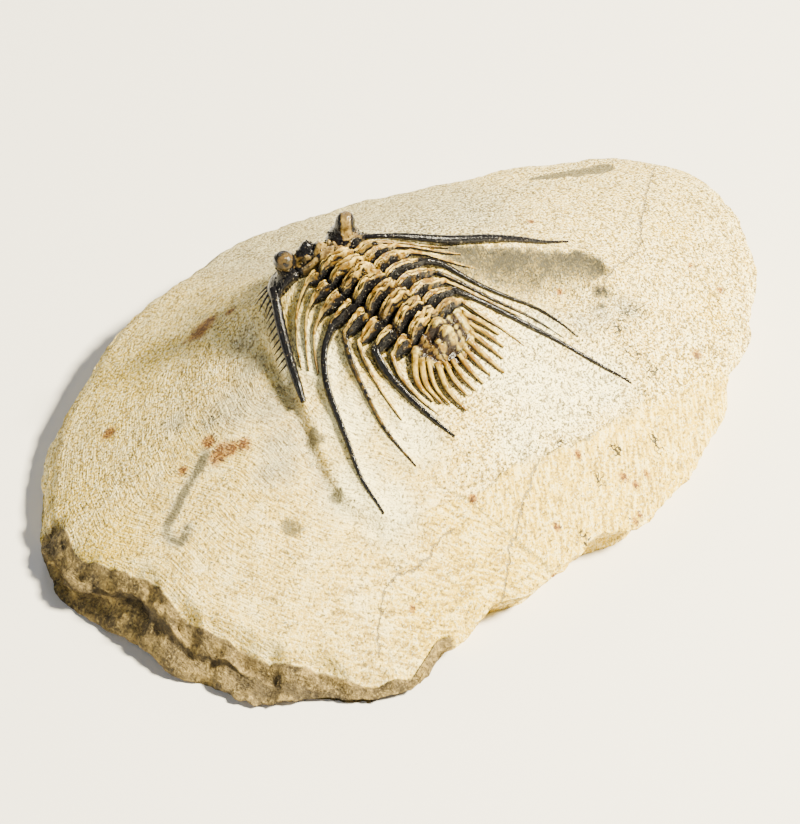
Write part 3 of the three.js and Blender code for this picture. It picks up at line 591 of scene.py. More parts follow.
def block_marks(points):
    """What each finish covers: a value at each point that the material reads."""
    x, y, z = points.T
    degrees = np.mod(np.degrees(np.arctan2(y, x)), 360)
    outward = np.hypot(x, y) / block_radius(degrees)
    rows_down = (np.arange(len(points)) - TOP_ROWS * SLICES) / SLICES
    on_wall = (rows_down >= 0).astype(float)
    share_down = np.clip(rows_down / WALL_ROWS, 0, 1)
    crack = np.full_like(x, LINE_REACH)
    for line in GLUED_CRACKS:
        side = signed_distance(line, x, y)[0]
        crack = np.where(np.abs(side) < np.abs(crack), side, crack)
    smear = near_patches([(px, py, 0.9) for px, py in smooth_path(HOOKED_SMEAR, 0.6)], x, y)
    oval = smooth_path(DARK_OVAL, 0.8)
    oval = [(px, py, reach) for (px, py), reach in zip(oval, np.linspace(0.6, 1.7, len(oval)))]
    # Painted shade in the hollow over its grey rock, darkest just below the ridge and fading down
    # the slope.
    away, share = signed_distance(HOLLOW_EDGE, x, y)
    hollow = smooth_step(-0.2, 1.0, -away + 0.5 * rough(x, y, z, 1.5))
    hollow = hollow * smooth_step(8.2, 1.0, -away) * share * (1 + 0.25 * rough(x, y, z, 1.8))
    # Painted shade along the steep left flank, where the ground drops away.
    flank, share = signed_distance(FLANK_EDGE, x, y)
    flank_shade = share * smooth_step(-0.3, 0.9, -flank) * np.exp(-np.abs(flank) / 3.5)
    flank_shade = flank_shade * smooth_step(-15, -10, y) * smooth_step(16, 10, y)
    # The wedge is the ochre ground in front of the prepared one, past its lip.
    ledge, share = ground_ledge(x, y)
    wedge = smooth_step(-20.3, -22.5, y + 0.1 * x) * (1 - share * smooth_step(-0.2, 0.4, ledge))
    wedge = np.maximum(wedge, share * smooth_step(0.2, -0.4, ledge)) * smooth_step(-26, -14, x)
    # A painted shadow line along the lip of the ledge, broken by noise.
    lip = 0.8 * share * bell(ledge, 0.22) * smooth_step(-0.1, 0.5, rough(x, y, z, 2.5))
    # The far side of the top is greyed: grey stone, with painted shade where it faces away from
    # the lamps.
    behind = smooth_step(6, 14, y) * smooth_step(38, 22, x) * smooth_step(-14, -4, x)
    # The raw break, and the painted shadow under the overhang of its rim, end at these degrees.
    raw = smooth_step(150, 168, degrees) * smooth_step(236, 224, degrees)
    raw = raw * np.maximum(on_wall, smooth_step(0.95, 0.985, outward))
    overhang_shadow = smooth_step(160, 172, degrees) * smooth_step(230, 216, degrees)
    overhang_shadow = overhang_shadow * bell(share_down - OVERHANG_SHARE, 0.16) * on_wall
    # The long strokes' pattern meets itself at 300 degrees, mostly under the combed ones.
    past_seam = np.radians(np.mod(degrees + 60, 360))
    abraded = smooth_step(-17, -3, x) * smooth_step(24, 12, y) * (1 - wedge)
    return {
        "chalky": near_patches(CHALKY, x, y),
        "ochre": np.maximum(near_patches(OCHRE, x, y), 0.85 * wedge),
        "grey_and_shade": np.maximum.reduce(
            [0.8 * near_patches(GREY_AND_SHADE_PATCHES, x, y), smear, 0.7 * behind, 0.85 * flank_shade]),
        "deep_shade_and_grey": np.maximum.reduce([hollow, near_patches(GREY_CHIP, x, y), lip]),
        "rusty": near_patches(RUSTY, x, y),
        "specks": near_patches(BLACK_SPECKS, x, y),
        "stained": np.maximum.reduce(
            [0.62 * near_patches(BROWN_STAINS, x, y), near_patches(oval, x, y), 0.62 * smear]),
        "broken": raw,
        "overhang_shadow": overhang_shadow,
        "crack": crack,
        "combed": smooth_step(-12, -18, y) * smooth_step(-40, -32, x),
        "comb_turn": np.where(x + 0.4 * y > -21, 0.45, -1.05),
        "peppered": 0.65 + 0.4 * abraded + 0.25 * smooth_step(8, 14, y),
        "across": MEAN_RADIUS * outward,
        "along": MEAN_RADIUS * past_seam,
    }


def limestone_block():
    """The block as one closed body, down to its sawn underside."""
    degrees = np.arange(SLICES) * 360 / SLICES
    rim, top = top_rows(degrees)
    wall = wall_rows(degrees, rim, top[-SLICES:, 2])
    crown = [0, 0, worked_stone(np.zeros(1), np.zeros(1))[0]]
    points = np.vstack([top, wall, [crown, [0, 0, 0]]])
    faces = ring_faces(TOP_ROWS + WALL_ROWS, SLICES)
    crown_point, under_point = len(points) - 2, len(points) - 1
    foot = crown_point - SLICES
    for i in range(SLICES):
        j = (i + 1) % SLICES
        faces += [(crown_point, i, j), (under_point, foot + j, foot + i)]
    return add_piece("limestone_block", points, faces, block_marks(points))


matrix = limestone_block()
matrix.data.materials.append(limestone_material())
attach(matrix, "root")
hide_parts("matrix")

# The body segments
# Eight rings of shell turned to dark and honey coloured calcite. Each crosses the
# body as a front and a rear fold, and its rear fold runs out into two free spines.

AXIS_START, AXIS_PITCH, AXIS_BEND, AXIS_HALF_WIDTH = (-8.1, 7.8), 1.66, 0.055, 2.25
SEGMENT_GAP = 0.12
RING_HEIGHT, FURROW_HEIGHT, PLEURA_HEIGHT, FULCRUM_HEIGHT = 3.0, 0.9, 1.5, 0.95
STATION, SPINE_STATION = 0.12, 0.16
FOOT_DEPTH = 0.45
# Low knobs on the folds: distance from the axis, half width and height.
FOLD_KNOBS = [(0.8, 0.5, 0.35), (2.0, 0.35, 0.6), (4.3, 0.6, 0.15)]
# How dark the calcite of each segment's spines is, from honey at 0 to black at 1.
SPINE_DARKNESS = [0.35, 0.3, 0.3, 1.0, 0.65, 0.3, 0.95, 0.35]
SECTION_SIDES = 29


def axis_at(t):
    """Plan point on the body's axis, t segments behind the head."""
    return np.array([AXIS_START[0] + AXIS_BEND * t * t, AXIS_START[1] - AXIS_PITCH * t])


def left_fulcrum_at(t):
    """Plan point where a left free spine starts."""
    return np.array([-12.9 + 0.15 * (t - 3.2) ** 2, 9.3 - 1.85 * t])


def right_fulcrum_at(t):
    return np.array([2.2 - 0.1 * (t - 6.5) ** 2, 7.1 - 1.46 * t])


def half_stations(t, fulcrum, root, path):
    """Stations from beside the axis to a tip: x, y, half width, lift, round, off axis."""
    start = axis_at(t)
    reach = np.hypot(*(fulcrum - start))
    toward = (fulcrum - start) / reach
    half_pitch = AXIS_PITCH * (1 - SEGMENT_GAP) / 2
    stations = []
    for w in np.arange(STATION, reach * 0.94, STATION):
        if w < AXIS_HALF_WIDTH:
            share = w / AXIS_HALF_WIDTH
            lift = FURROW_HEIGHT + (RING_HEIGHT - FURROW_HEIGHT) * math.sqrt(1 - share * share)
            half, rounded = half_pitch, 0
        else:
            share = (w - AXIS_HALF_WIDTH) / (reach - AXIS_HALF_WIDTH)
            swell = math.sin(math.pi * min(1, share * 1.25)) ** 0.7 if share < 0.8 else 0
            lift = FURROW_HEIGHT + (PLEURA_HEIGHT - FURROW_HEIGHT) * swell * 1.1
            lift = lift + (FULCRUM_HEIGHT - FURROW_HEIGHT) * share ** 2
            half = half_pitch + (root * 1.3 - half_pitch) * share ** 3
            rounded = 0.2 * share
        stations.append([*(start + toward * w), half, lift, rounded, w])
    free = smooth_path([tuple(fulcrum), *path], SPINE_STATION)
    for k, (px, py) in enumerate(free):
        half = root * (1 - 0.72 * (k / (len(free) - 1)) ** 1.5)
        stations.append([px, py, half, half * 2, 1, reach + SPINE_STATION * k])
    # Width, lift and roundness change gradually, over nine stations.
    stations = np.array(stations)
    for column in (2, 3, 4):
        padded = np.pad(stations[:, column], 4, mode="edge")
        stations[:, column] = np.convolve(padded, np.ones(9) / 9, mode="valid")
    return stations


def segment_piece(index):
    """One segment from spine tip to spine tip, as a closed body set in the stone."""
    t = index + 0.5
    left = half_stations(t, left_fulcrum_at(t), *LEFT_SPINES[index])
    right = half_stations(t, right_fulcrum_at(t), *RIGHT_SPINES[index])
    stations = np.vstack([left[::-1], right])
    plan = stations[:, :2]
    half, lift, rounded, off_axis = (stations[:, k][:, None] for k in (2, 3, 4, 5))
    flat = 1 - rounded
    heading = np.gradient(plan, axis=0)
    heading /= np.hypot(*heading.T)[:, None]
    # q goes from -1 at the front edge to 1 at the rear edge, and the folds wander
    # a little about it.
    q = np.linspace(-1, 1, SECTION_SIDES)
    px = plan[:, :1] + heading[:, 1:] * q * half
    py = plan[:, 1:] - heading[:, :1] * q * half
    wander = rough(plan[:, 0], plan[:, 1], plan[:, 0] * 0 + index, 1.8, 2)[:, None]
    fold = q + 0.2 * wander * (1 - q * q)
    plate = 0.6 + 0.34 * bell(fold + 0.48, 0.28) + 0.36 * bell(fold - 0.5, 0.27)
    plate = plate * (1 - 0.6 * np.abs(q) ** 4)
    tube = 0.5 + 0.5 * np.sqrt(np.clip(1 - q * q, 0, 1))
    up = (plate * flat + tube * rounded) * lift
    # A furrow runs beside the axis, and fine lines run along the folds.
    lines = bell(np.mod(fold * 2.1 + 0.7 * wander, 1) - 0.5, 0.13) * flat
    up = up - 0.45 * bell(off_axis - 2.45, 0.3) * flat - 0.17 * lines
    for place, size, height in FOLD_KNOBS:
        up = up + height * bell(off_axis - place, size) * bell(q * half - 0.1, 0.45) * flat
    ground = stone_top(px, py)
    lumps, grains = [
        rough(px.ravel(), py.ravel(), (ground + up).ravel(), size).reshape(px.shape)
        for size in (0.95, 0.4)
    ]
    up = up + (0.2 * lumps + 0.1 * grains) * (0.25 + 0.75 * flat)
    surface = np.stack([px, py, ground + up], 2)
    foot = surface[:, [0, -1], :].copy()
    foot[:, :, 2] = stone_top(foot[:, :, 0], foot[:, :, 1]) - FOOT_DEPTH
    rings = np.concatenate([foot[:, :1], surface, foot[:, 1:]], 1)
    count, sides = rings.shape[:2]
    faces = ring_faces(count, sides)
    faces += [tuple(range(sides))[::-1], tuple((count - 1) * sides + i for i in range(sides))]

    # The rear fold is black from a start that lies further forward on dark segments.
    # The lines are dark on each, and the furrow beside the axis and the edges carry painted shade;
    # the spines are as dark as their calcite is.
    darkness = SPINE_DARKNESS[index]
    start = 0.67 - 0.6 * darkness + (0.1 + 0.4 * darkness) * smooth_step(2.8, 1.9, off_axis)
    rear = smooth_step(start - 0.14, start + 0.14, fold)
    rear = rear * (0.7 + 0.6 * wander + 0.35 * (darkness > 0.9))
    # Painted shade in the furrow beside the axis.
    rear = np.maximum(rear, 0.8 * bell(off_axis - 2.5, 0.3))
    rear = np.maximum(rear, 0.95 * lines)
    # Painted shade along the edges: between the segments and on the flanks of the spines.
    edge = smooth_step(0.62, 0.97, np.abs(q))[None, :]
    dark = np.maximum(rear, edge) * flat + rounded * np.maximum(darkness, 0.95 * edge)
    dark = np.concatenate([dark[:, :1], dark, dark[:, -1:]], 1)
    granular = np.concatenate([flat * 0, flat * (0.3 + rear), flat * 0], 1)
    return add_piece(f"segment_{index + 1}", rings.reshape(-1, 3), faces, {
        "dark": dark.ravel(),
        "granular": np.clip(granular, 0, 1).ravel(),
    })


def calcite_material(name, dark_code, sheen_code, warm_code, pale_code, tint_code):
    """Fossil shell, turned to calcite in the rock and bared with fine abrasive."""
    # To the eye it is near black on one fold and honey on the next, with a low
    # polish whose small soft highlights follow the folds and the tubercles.
    made = bpy.data.materials.new(name)
    made.use_nodes = True
    tree = made.node_tree
    shader = tree.nodes["Principled BSDF"]
    place = add_node(tree, "ShaderNodeTexCoord", {}).outputs["Object"]
    dark = add_node(tree, "ShaderNodeAttribute", {}, attribute_name="dark").outputs["Fac"]
    # Patches of 2.4 mm, mottling of 0.8 mm, and the shell's grain and the pale specks of rock dust
    # and painted glints on it at a quarter of a millimetre, as coarse as they need to be to show.
    patchy, mottle, grain, dust_and_glints = [
        add_node(tree, "ShaderNodeTexNoise",
                 {"Vector": place, "Scale": 1 / (size * MM), "Detail": detail}).outputs["Fac"]
        for size, detail in ((2.4, 2.0), (0.8, 4.0), (0.25, 4.0), (0.28, 0.5))
    ]
    warm = add_node(tree, "ShaderNodeMapRange",
                    {"Value": mottle, "From Min": 0.4, "From Max": 0.6}).outputs[0]
    warm = add_node(tree, "ShaderNodeMix", {0: warm, 6: linear(warm_code), 7: linear(pale_code)},
                    data_type="RGBA").outputs[2]
    tinted = add_node(tree, "ShaderNodeMapRange",
                      {"Value": patchy, "From Min": 0.48, "From Max": 0.62,
                       "To Max": 0.85}).outputs[0]
    warm = add_node(tree, "ShaderNodeMix", {0: tinted, 6: warm, 7: linear(tint_code)},
                    data_type="RGBA").outputs[2]
    black = add_node(tree, "ShaderNodeMix",
                     {0: grain, 6: linear(dark_code), 7: linear(sheen_code)},
                     data_type="RGBA").outputs[2]
    shifted = add_node(tree, "ShaderNodeMath", {0: mottle, 1: 1.5, 2: dark},
                       operation="MULTIPLY_ADD").outputs[0]
    mask = add_node(tree, "ShaderNodeMapRange",
                    {"Value": shifted, "From Min": 0.95, "From Max": 1.5},
                    interpolation_type="SMOOTHSTEP").outputs[0]
    base = add_node(tree, "ShaderNodeMix", {0: mask, 6: warm, 7: black},
                    data_type="RGBA").outputs[2]
    # Pale specks: grains of rock that the air abrasive left between the tubercles, and painted
    # glints.
    base = lay_colour(tree, base, dust_and_glints, 0.68, 0.78, 0.28, "#a3977a")
    tree.links.new(base, shader.inputs["Base Color"])
    gloss = add_node(tree, "ShaderNodeMapRange",
                     {"Value": grain, "From Min": 0.35, "From Max": 0.7,
                      "To Min": 0.08, "To Max": 0.26}).outputs[0]
    tree.links.new(gloss, shader.inputs["Roughness"])
    bump = add_node(tree, "ShaderNodeBump",
                    {"Height": grain, "Distance": 0.11 * MM, "Strength": 0.7}).outputs[0]
    tree.links.new(bump, shader.inputs["Normal"])
    shader.inputs["IOR"].default_value = 1.5
    shader.inputs["Specular IOR Level"].default_value = 0.22
    return made


def open_tree(name, sockets):
    """A geometry tree with its inputs' names, kinds and values, and one output."""
    tree = bpy.data.node_groups.new(name, "GeometryNodeTree")
    for label, kind, value in sockets:
        socket = tree.interface.new_socket(label, in_out="INPUT", socket_type="NodeSocket" + kind)
        if value is not None:
            socket.default_value = value
    tree.interface.new_socket("Result", in_out="OUTPUT", socket_type="NodeSocketGeometry")
    return tree, add_node(tree, "NodeGroupInput", {}).outputs


def tubercle_tree():
    """Scatters small round tubercles over a piece where its granular mark is high."""
    tree, given = open_tree("tubercles", (
        ("Piece", "Geometry", None), ("Per square metre", "Float", 2.5e6),
        ("Radius", "Float", 0.13 * MM), ("Seed", "Int", 3), ("Finish", "Material", None)))
    mark = add_node(tree, "GeometryNodeInputNamedAttribute", {"Name": "granular"})
    density = add_node(tree, "ShaderNodeMath",
                       {0: mark.outputs["Attribute"], 1: given["Per square metre"]},
                       operation="MULTIPLY").outputs[0]
    spots = add_node(tree, "GeometryNodeDistributePointsOnFaces",
                     {"Mesh": given["Piece"], "Density": density, "Seed": given["Seed"]})
    grain = add_node(tree, "GeometryNodeMeshIcoSphere",
                     {"Radius": given["Radius"], "Subdivisions": 2}).outputs[0]
    size = add_node(tree, "FunctionNodeRandomValue", {"Min": 0.5, "Max": 1.25},
                    data_type="FLOAT")
    scattered = add_node(tree, "GeometryNodeInstanceOnPoints",
                         {"Points": spots.outputs["Points"], "Instance": grain,
                          "Scale": size.outputs[1]}).outputs[0]
    scattered = add_node(tree, "GeometryNodeRealizeInstances", {"Geometry": scattered}).outputs[0]
    scattered = add_node(tree, "GeometryNodeSetShadeSmooth", {"Geometry": scattered}).outputs[0]
    whole = add_node(tree, "GeometryNodeJoinGeometry", {0: given["Piece"]})
    tree.links.new(scattered, whole.inputs[0])
    coated = add_node(tree, "GeometryNodeSetMaterial",
                      {"Geometry": whole.outputs[0], "Material": given["Finish"]}).outputs[0]
    add_node(tree, "NodeGroupOutput", {0: coated})
    return tree


def grow(piece, tree, **values):
    """Runs a node tree on a piece and keeps the result as its plain mesh."""
    modifier = piece.modifiers.new("growth", "NODES")
    modifier.node_group = tree
    for item in tree.interface.items_tree:
        if item.in_out == "INPUT" and item.name in values:
            modifier[item.identifier] = values[item.name]
    seen = piece.evaluated_get(bpy.context.evaluated_depsgraph_get())
    mesh = bpy.data.meshes.new_from_object(seen)
    if piece.type == "MESH":
        piece.modifiers.remove(modifier)
        piece.data = mesh
        return piece
    made = bpy.data.objects.new(piece.name + "_shell", mesh)
    bpy.context.scene.collection.objects.link(made)
    bpy.data.objects.remove(piece)
    return made


# The body's shell: the blackest calcite, beside bright honey.
body_calcite = calcite_material("body_calcite", "#040404", "#171617", "#6b4e12", "#d8bb60",
                                "#574118")
tubercles = tubercle_tree()
for index in range(len(SPINE_DARKNESS)):
    segment = segment_piece(index)
    segment = grow(segment, tubercles, Finish=body_calcite, Seed=index)
    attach(segment, "root")
    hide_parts(f"thorax_segment_{index + 1}")

# The head shield
# A vaulted middle piece with a lobed glabella, and two cheeks that carry the eyes on
# stalks, a fringe of short spines and a thick genal spine. All of it is shell.

HEAD_PLACE, HEAD_TURN, HEAD_LENGTH = (-8.4, 8.3), -8, 4.7
HEAD_HALF_WIDTH = {"left": 3.35, "right": 2.75}
GLABELLA_HEIGHT, FRONT_LOBE_HEIGHT, OCCIPITAL_HEIGHT = 2.7, 3.1, 2.3
LATERAL_LOBE_HEIGHT, EYE_RIDGE_HEIGHT, CHEEK_HEIGHT = 1.5, 0.7, 1.1
# The rear end of each cheek's suture: sideways from the middle line, and forwards.
CHEEK_SUTURE = {-1: (3.6, 1.0), 1: (3.0, 0.4)}
# How pale each lens is: paler calcite, and a painted highlight on the side toward the key lamp.
LENS_PALENESS_AND_HIGHLIGHT = {"left": 0.42, "right": 0.95}
# The eyes: sideways, forwards, height, and how far the stalk leans to the right.
LEFT_EYE, RIGHT_EYE = (-4.5, 2.5, 3.9, -0.25), (3.95, 2.4, 4.6, 0.5)
# Radii of an eye on its stalk, each at a share of its height.
EYE_PROFILES = {
    "left": [(1.3, 0), (1.0, 0.3), (1.05, 0.5), (1.35, 0.68), (1.2, 0.86), (0.7, 0.97), (0, 1)],
    "right": [(2.3, 0), (2.2, 0.25), (1.9, 0.4), (1.5, 0.54), (1.2, 0.68), (1.2, 0.8),
              (0.95, 0.92), (0.5, 0.985), (0, 1)],
}
GENAL_THICKNESS = {
    "left": (0.6, 0.64, 0.62, 0.6, 0.56, 0.52, 0.34),
    "right": (0.34, 0.34, 0.48, 0.58, 0.58, 0.56, 0.5, 0.42, 0.24, 0.13),
}
FRINGE_SPINES, FRINGE_LENGTH, FRINGE_THICKNESS = 14, 1.5, (0.14, 0.11, 0.04)


def head_point(across, forward):
    c, s = math.cos(math.radians(HEAD_TURN)), math.sin(math.radians(HEAD_TURN))
    return (HEAD_PLACE[0] + across * c - forward * s, HEAD_PLACE[1] + across * s + forward * c)


def cranidium_half_width(u, v):
    return np.where(u < 0, HEAD_HALF_WIDTH["left"], HEAD_HALF_WIDTH["right"]) - 1.1 * v ** 2.5


def cranidium_place(u, v):
    """Plan point for u from -1 at the left to 1, and v from 0 at the rear to 1."""
    bow = np.where(u < 0, 0.9, 0.15) * u * u * (1 - v)
    forward = HEAD_LENGTH * v + 0.5 * (1 - u * u) * v + bow
    return head_point(u * cranidium_half_width(u, v), forward)


def front_lobe(w, v):
    """The swollen dark lobe at the front of the glabella, pressed over to the left."""
    return bell(w + 1.1, 1.55) * bell(v - 0.6, 0.3)


def cranidium_lift(u, v):
    w = u * cranidium_half_width(u, v)
    glabella = GLABELLA_HEIGHT * bell(w, 1.25) * smooth_step(0.14, 0.3, v) * (1 - 0.6 * v ** 2)
    glabella = np.maximum(glabella, FRONT_LOBE_HEIGHT * front_lobe(w, v))
    lobes = bell(v - 0.3, 0.1) + bell(v - 0.52, 0.1) + 0.8 * bell(v - 0.74, 0.09)
    lateral = LATERAL_LOBE_HEIGHT * lobes * (bell(w - 1.9, 0.55) + bell(w + 1.9, 0.55))
    occipital = OCCIPITAL_HEIGHT * bell(v - 0.04, 0.09) * bell(w, 2.6)
    eye_ridge = EYE_RIDGE_HEIGHT * bell(v - 0.62, 0.1) * smooth_step(2, 2.7, np.abs(w))
    return 0.55 + np.maximum.reduce([glabella, lateral, occipital]) + eye_ridge


def cheek_place(side, u, v):
    """Plan point on a cheek: u from edge to edge, and v from the front to the rear."""
    sideways, forward = CHEEK_SUTURE[side]
    inner = sideways - 1.1 * (1 - v) ** 2.5, HEAD_LENGTH + (forward - HEAD_LENGTH) * v
    outer = 3.0 + 3.9 * np.sin(np.radians(v * 100)) ** 0.8, HEAD_LENGTH + 0.5 - 3.9 * v ** 1.7
    f = (u * side + 1) / 2
    return head_point(side * (inner[0] + (outer[0] - inner[0]) * f),
                      inner[1] + (outer[1] - inner[1]) * f)


def cheek_lift(side, u, v):
    f = (u * side + 1) / 2
    border = 0.35 * bell(f - 0.9, 0.12)
    vault = np.sin(np.pi * np.clip(f * 0.8 + 0.15, 0, 1)) * (0.5 + 0.5 * v)
    return 0.4 + CHEEK_HEIGHT * vault + border


def patch_points(columns, rows, place, lift, grain):
    """A closed plate set in the stone, with natural grain on its top."""
    u, v = np.meshgrid(np.linspace(-1, 1, columns + 1), np.linspace(0, 1, rows + 1))
    u, v = u.ravel(), v.ravel()
    px, py = place(u, v)
    ground = stone_top(px, py)
    up = lift(u, v)
    up = up + grain * rough(px, py, ground + up, 0.6)
    top = np.stack([px, py, ground + up], 1)
    under = np.stack([px, py, ground - FOOT_DEPTH], 1)
    faces = []
    count = len(top)
    for r in range(rows):
        for c in range(columns):
            a = r * (columns + 1) + c
            b, d, e = a + 1, a + columns + 2, a + columns + 1
            faces += [(a, b, d, e), (count + a, count + e, count + d, count + b)]
    edge = list(range(columns))
    edge += [r * (columns + 1) + columns for r in range(rows)]
    edge += [rows * (columns + 1) + c for c in range(columns, 0, -1)]
    edge += [r * (columns + 1) for r in range(rows, 0, -1)]
    for a, b in zip(edge, edge[1:] + edge[:1]):
        faces.append((a, count + a, count + b, b))
    return np.vstack([top, under]), faces, u, v


def eye_points(eye, profile):
    """Eye on its stalk: a turned shape that leans outwards, with a closed crown."""
    across, forward, height, lean = eye
    ex, ey = head_point(across, forward)
    profile = np.array(profile)
    at = np.linspace(0, len(profile) - 1, 40)[:-1]
    reach = np.interp(at, range(len(profile)), profile[:, 0])
    rise = np.interp(at, range(len(profile)), profile[:, 1])
    a = np.radians(np.arange(0, 360, 12))
    base = stone_top(np.array([ex]), np.array([ey]))[0] - 0.2
    px = ex + reach[:, None] * np.cos(a) + lean * rise[:, None] ** 2
    py = ey + reach[:, None] * np.sin(a)
    pz = base + rise[:, None] * (height + 0.55) + 0 * a
    swell = rough(px.ravel(), py.ravel(), pz.ravel(), 0.5).reshape(px.shape) * 0.06
    points = np.stack([px + swell * np.cos(a), py + swell * np.sin(a), pz], 2).reshape(-1, 3)
    faces = ring_faces(len(at), len(a))
    crown = len(points)
    top = crown - len(a)
    faces += [(top + i, top + (i + 1) % len(a), crown) for i in range(len(a))]
    faces.append(tuple(range(len(a)))[::-1])
    points = np.vstack([points, [ex + lean, ey, base + height + 0.58]])
    rises = np.append(np.repeat(rise, len(a)), 1.0)
    return points, faces, rises


def spine_tree():
    """Sweeps a tapering granular tube along each plan curve."""
    tree, given = open_tree("spines", (
        ("Curves", "Geometry", None), ("Sides", "Int", 12), ("Spacing", "Float", 0.14 * MM),
        ("Grain", "Float", 0.4 * MM), ("Roughness", "Float", 0.16 * MM),
        ("Darkness", "Float", 1.0), ("Flank", "Float", 0.0), ("Finish", "Material", None)))
    fine = add_node(tree, "GeometryNodeResampleCurve",
                    {"Curve": given["Curves"], "Length": given["Spacing"]}, mode="LENGTH")
    section = add_node(tree, "GeometryNodeCurvePrimitiveCircle",
                       {"Resolution": given["Sides"], "Radius": 1.0}).outputs[0]
    radius = add_node(tree, "GeometryNodeInputRadius", {}).outputs[0]
    tube = add_node(tree, "GeometryNodeCurveToMesh",
                    {"Curve": fine.outputs[0], "Profile Curve": section, "Scale": radius,
                     "Fill Caps": True})
    per_metre = add_node(tree, "ShaderNodeMath", {0: 1.0, 1: given["Grain"]}, operation="DIVIDE")
    lumps = add_node(tree, "ShaderNodeTexNoise", {"Scale": per_metre.outputs[0], "Detail": 2.0})
    shift = add_node(tree, "ShaderNodeMath", {0: lumps.outputs["Fac"], 1: 0.5},
                     operation="SUBTRACT")
    shift = add_node(tree, "ShaderNodeMath", {0: shift.outputs[0], 1: given["Roughness"]},
                     operation="MULTIPLY")
    normal = add_node(tree, "GeometryNodeInputNormal", {}).outputs[0]
    offset = add_node(tree, "ShaderNodeVectorMath", {0: normal, "Scale": shift.outputs[0]},
                      operation="SCALE").outputs[0]
    tube = add_node(tree, "GeometryNodeSetPosition",
                    {"Geometry": tube.outputs[0], "Offset": offset}).outputs[0]
    # Where the tube's surface turns away from straight up, Flank darkens it: painted shade on its
    # flanks.
    height = add_node(tree, "ShaderNodeSeparateXYZ", {0: normal}).outputs["Z"]
    flank = add_node(tree, "ShaderNodeMapRange",
                     {"Value": height, "From Min": 0.5, "From Max": 0.2}).outputs[0]
    dark = add_node(tree, "ShaderNodeMath",
                    {0: flank, 1: given["Flank"], 2: given["Darkness"]},
                    operation="MULTIPLY_ADD").outputs[0]
    tube = add_node(tree, "GeometryNodeStoreNamedAttribute",
                    {"Geometry": tube, "Name": "dark", "Value": dark},
                    data_type="FLOAT", domain="POINT").outputs[0]
    tube = add_node(tree, "GeometryNodeSetShadeSmooth", {"Geometry": tube}).outputs[0]
    tube = add_node(tree, "GeometryNodeRealizeInstances", {"Geometry": tube}).outputs[0]
    coated = add_node(tree, "GeometryNodeSetMaterial",
                      {"Geometry": tube, "Material": given["Finish"]}).outputs[0]
    add_node(tree, "NodeGroupOutput", {0: coated})
    return tree


def spine_curves(name, spines, bedded=0.0):
    """Curves on the stone: plan points, radii, lift at the root, and how far bedded in."""
    data = bpy.data.curves.new(name, "CURVE")
    data.dimensions = "3D"
    for path, radii, lift in spines:
        plan = smooth_path(path, 0.25)
        along = np.linspace(0, 1, len(plan))
        size = np.interp(along, np.linspace(0, 1, len(radii)), radii)
        height = stone_top(plan[:, 0], plan[:, 1]) + size * (1 - bedded)
        height = height + lift * (1 - along) ** 2
        spline = data.splines.new("POLY")
        spline.points.add(len(plan) - 1)
        for point, (px, py), pz, pr in zip(spline.points, plan, height, size):
            point.co = ((px - MIDDLE[0]) * MM, (py - MIDDLE[1]) * MM, pz * MM, 1)
            point.radius = pr * MM
    made = bpy.data.objects.new(name, data)
    bpy.context.scene.collection.objects.link(made)
    return made


def join_pieces(name, pieces):
    """Several meshes of one natural piece, as one object."""
    for piece in bpy.context.scene.objects:
        piece.select_set(piece in pieces)
    bpy.context.view_layer.objects.active = pieces[0]
    bpy.ops.object.join()
    pieces[0].name = name
    return pieces[0]


def cheek_plate(name, side):
    points, faces, u, v = patch_points(
        46, 40, lambda u, v: cheek_place(side, u, v), lambda u, v: cheek_lift(side, u, v), 0.08)
    dark = 0.6 - 0.25 * side + 0.4 * smooth_step(0.55, 0.9, (u * side + 1) / 2)
    plate = add_piece(name + "_cheek_plate", points, faces, {
        "dark": np.tile(dark, 2),
        "granular": np.repeat([0.6, 0.0], len(u)),
    })
    return grow(plate, tubercles, Finish=head_calcite, Seed=21)


def eye_on_stalk(name, side, eye):
    """A dark granular stalk. Its smooth lens of paler calcite faces the picture's lower right,
    toward the key lamp, so its paleness is also a painted highlight.
    """
    points, faces, rises = eye_points(eye, EYE_PROFILES[name])
    ex, ey = head_point(eye[0], eye[1])
    # The lens lies on the side that faces the key lamp, so its paleness is also a painted
    # highlight.
    facing = (points[:, 0] - ex) * 0.72 - (points[:, 1] - ey) * 0.69
    lens_start = 0.35 * side - 0.65 + 2.6 * np.maximum(0, 0.62 - rises)
    lens = smooth_step(0.42, 0.52, rises) * smooth_step(-0.12, 0.12, facing - lens_start)
    lens = lens * (1 - smooth_step(0.85, 1.05, facing * smooth_step(0.3, 0.7, rises)))
    stalk = add_piece(name + "_eye", points, faces, {
        "dark": 1.0 - LENS_PALENESS_AND_HIGHLIGHT[name] * lens,
        "granular": 0.9 * (1 - smooth_step(0.55, 0.66, rises)),
    })
    return grow(stalk, tubercles, Finish=head_calcite, Seed=22)


def genal_spine(name, side, path):
    start = tuple(float(c) for c in cheek_place(side, side * 0.7, 0.8))
    curves = spine_curves(name + "_genal", [([start, *path], GENAL_THICKNESS[name], 0.3)])
    return grow(curves, spines, Finish=head_calcite, Sides=16)


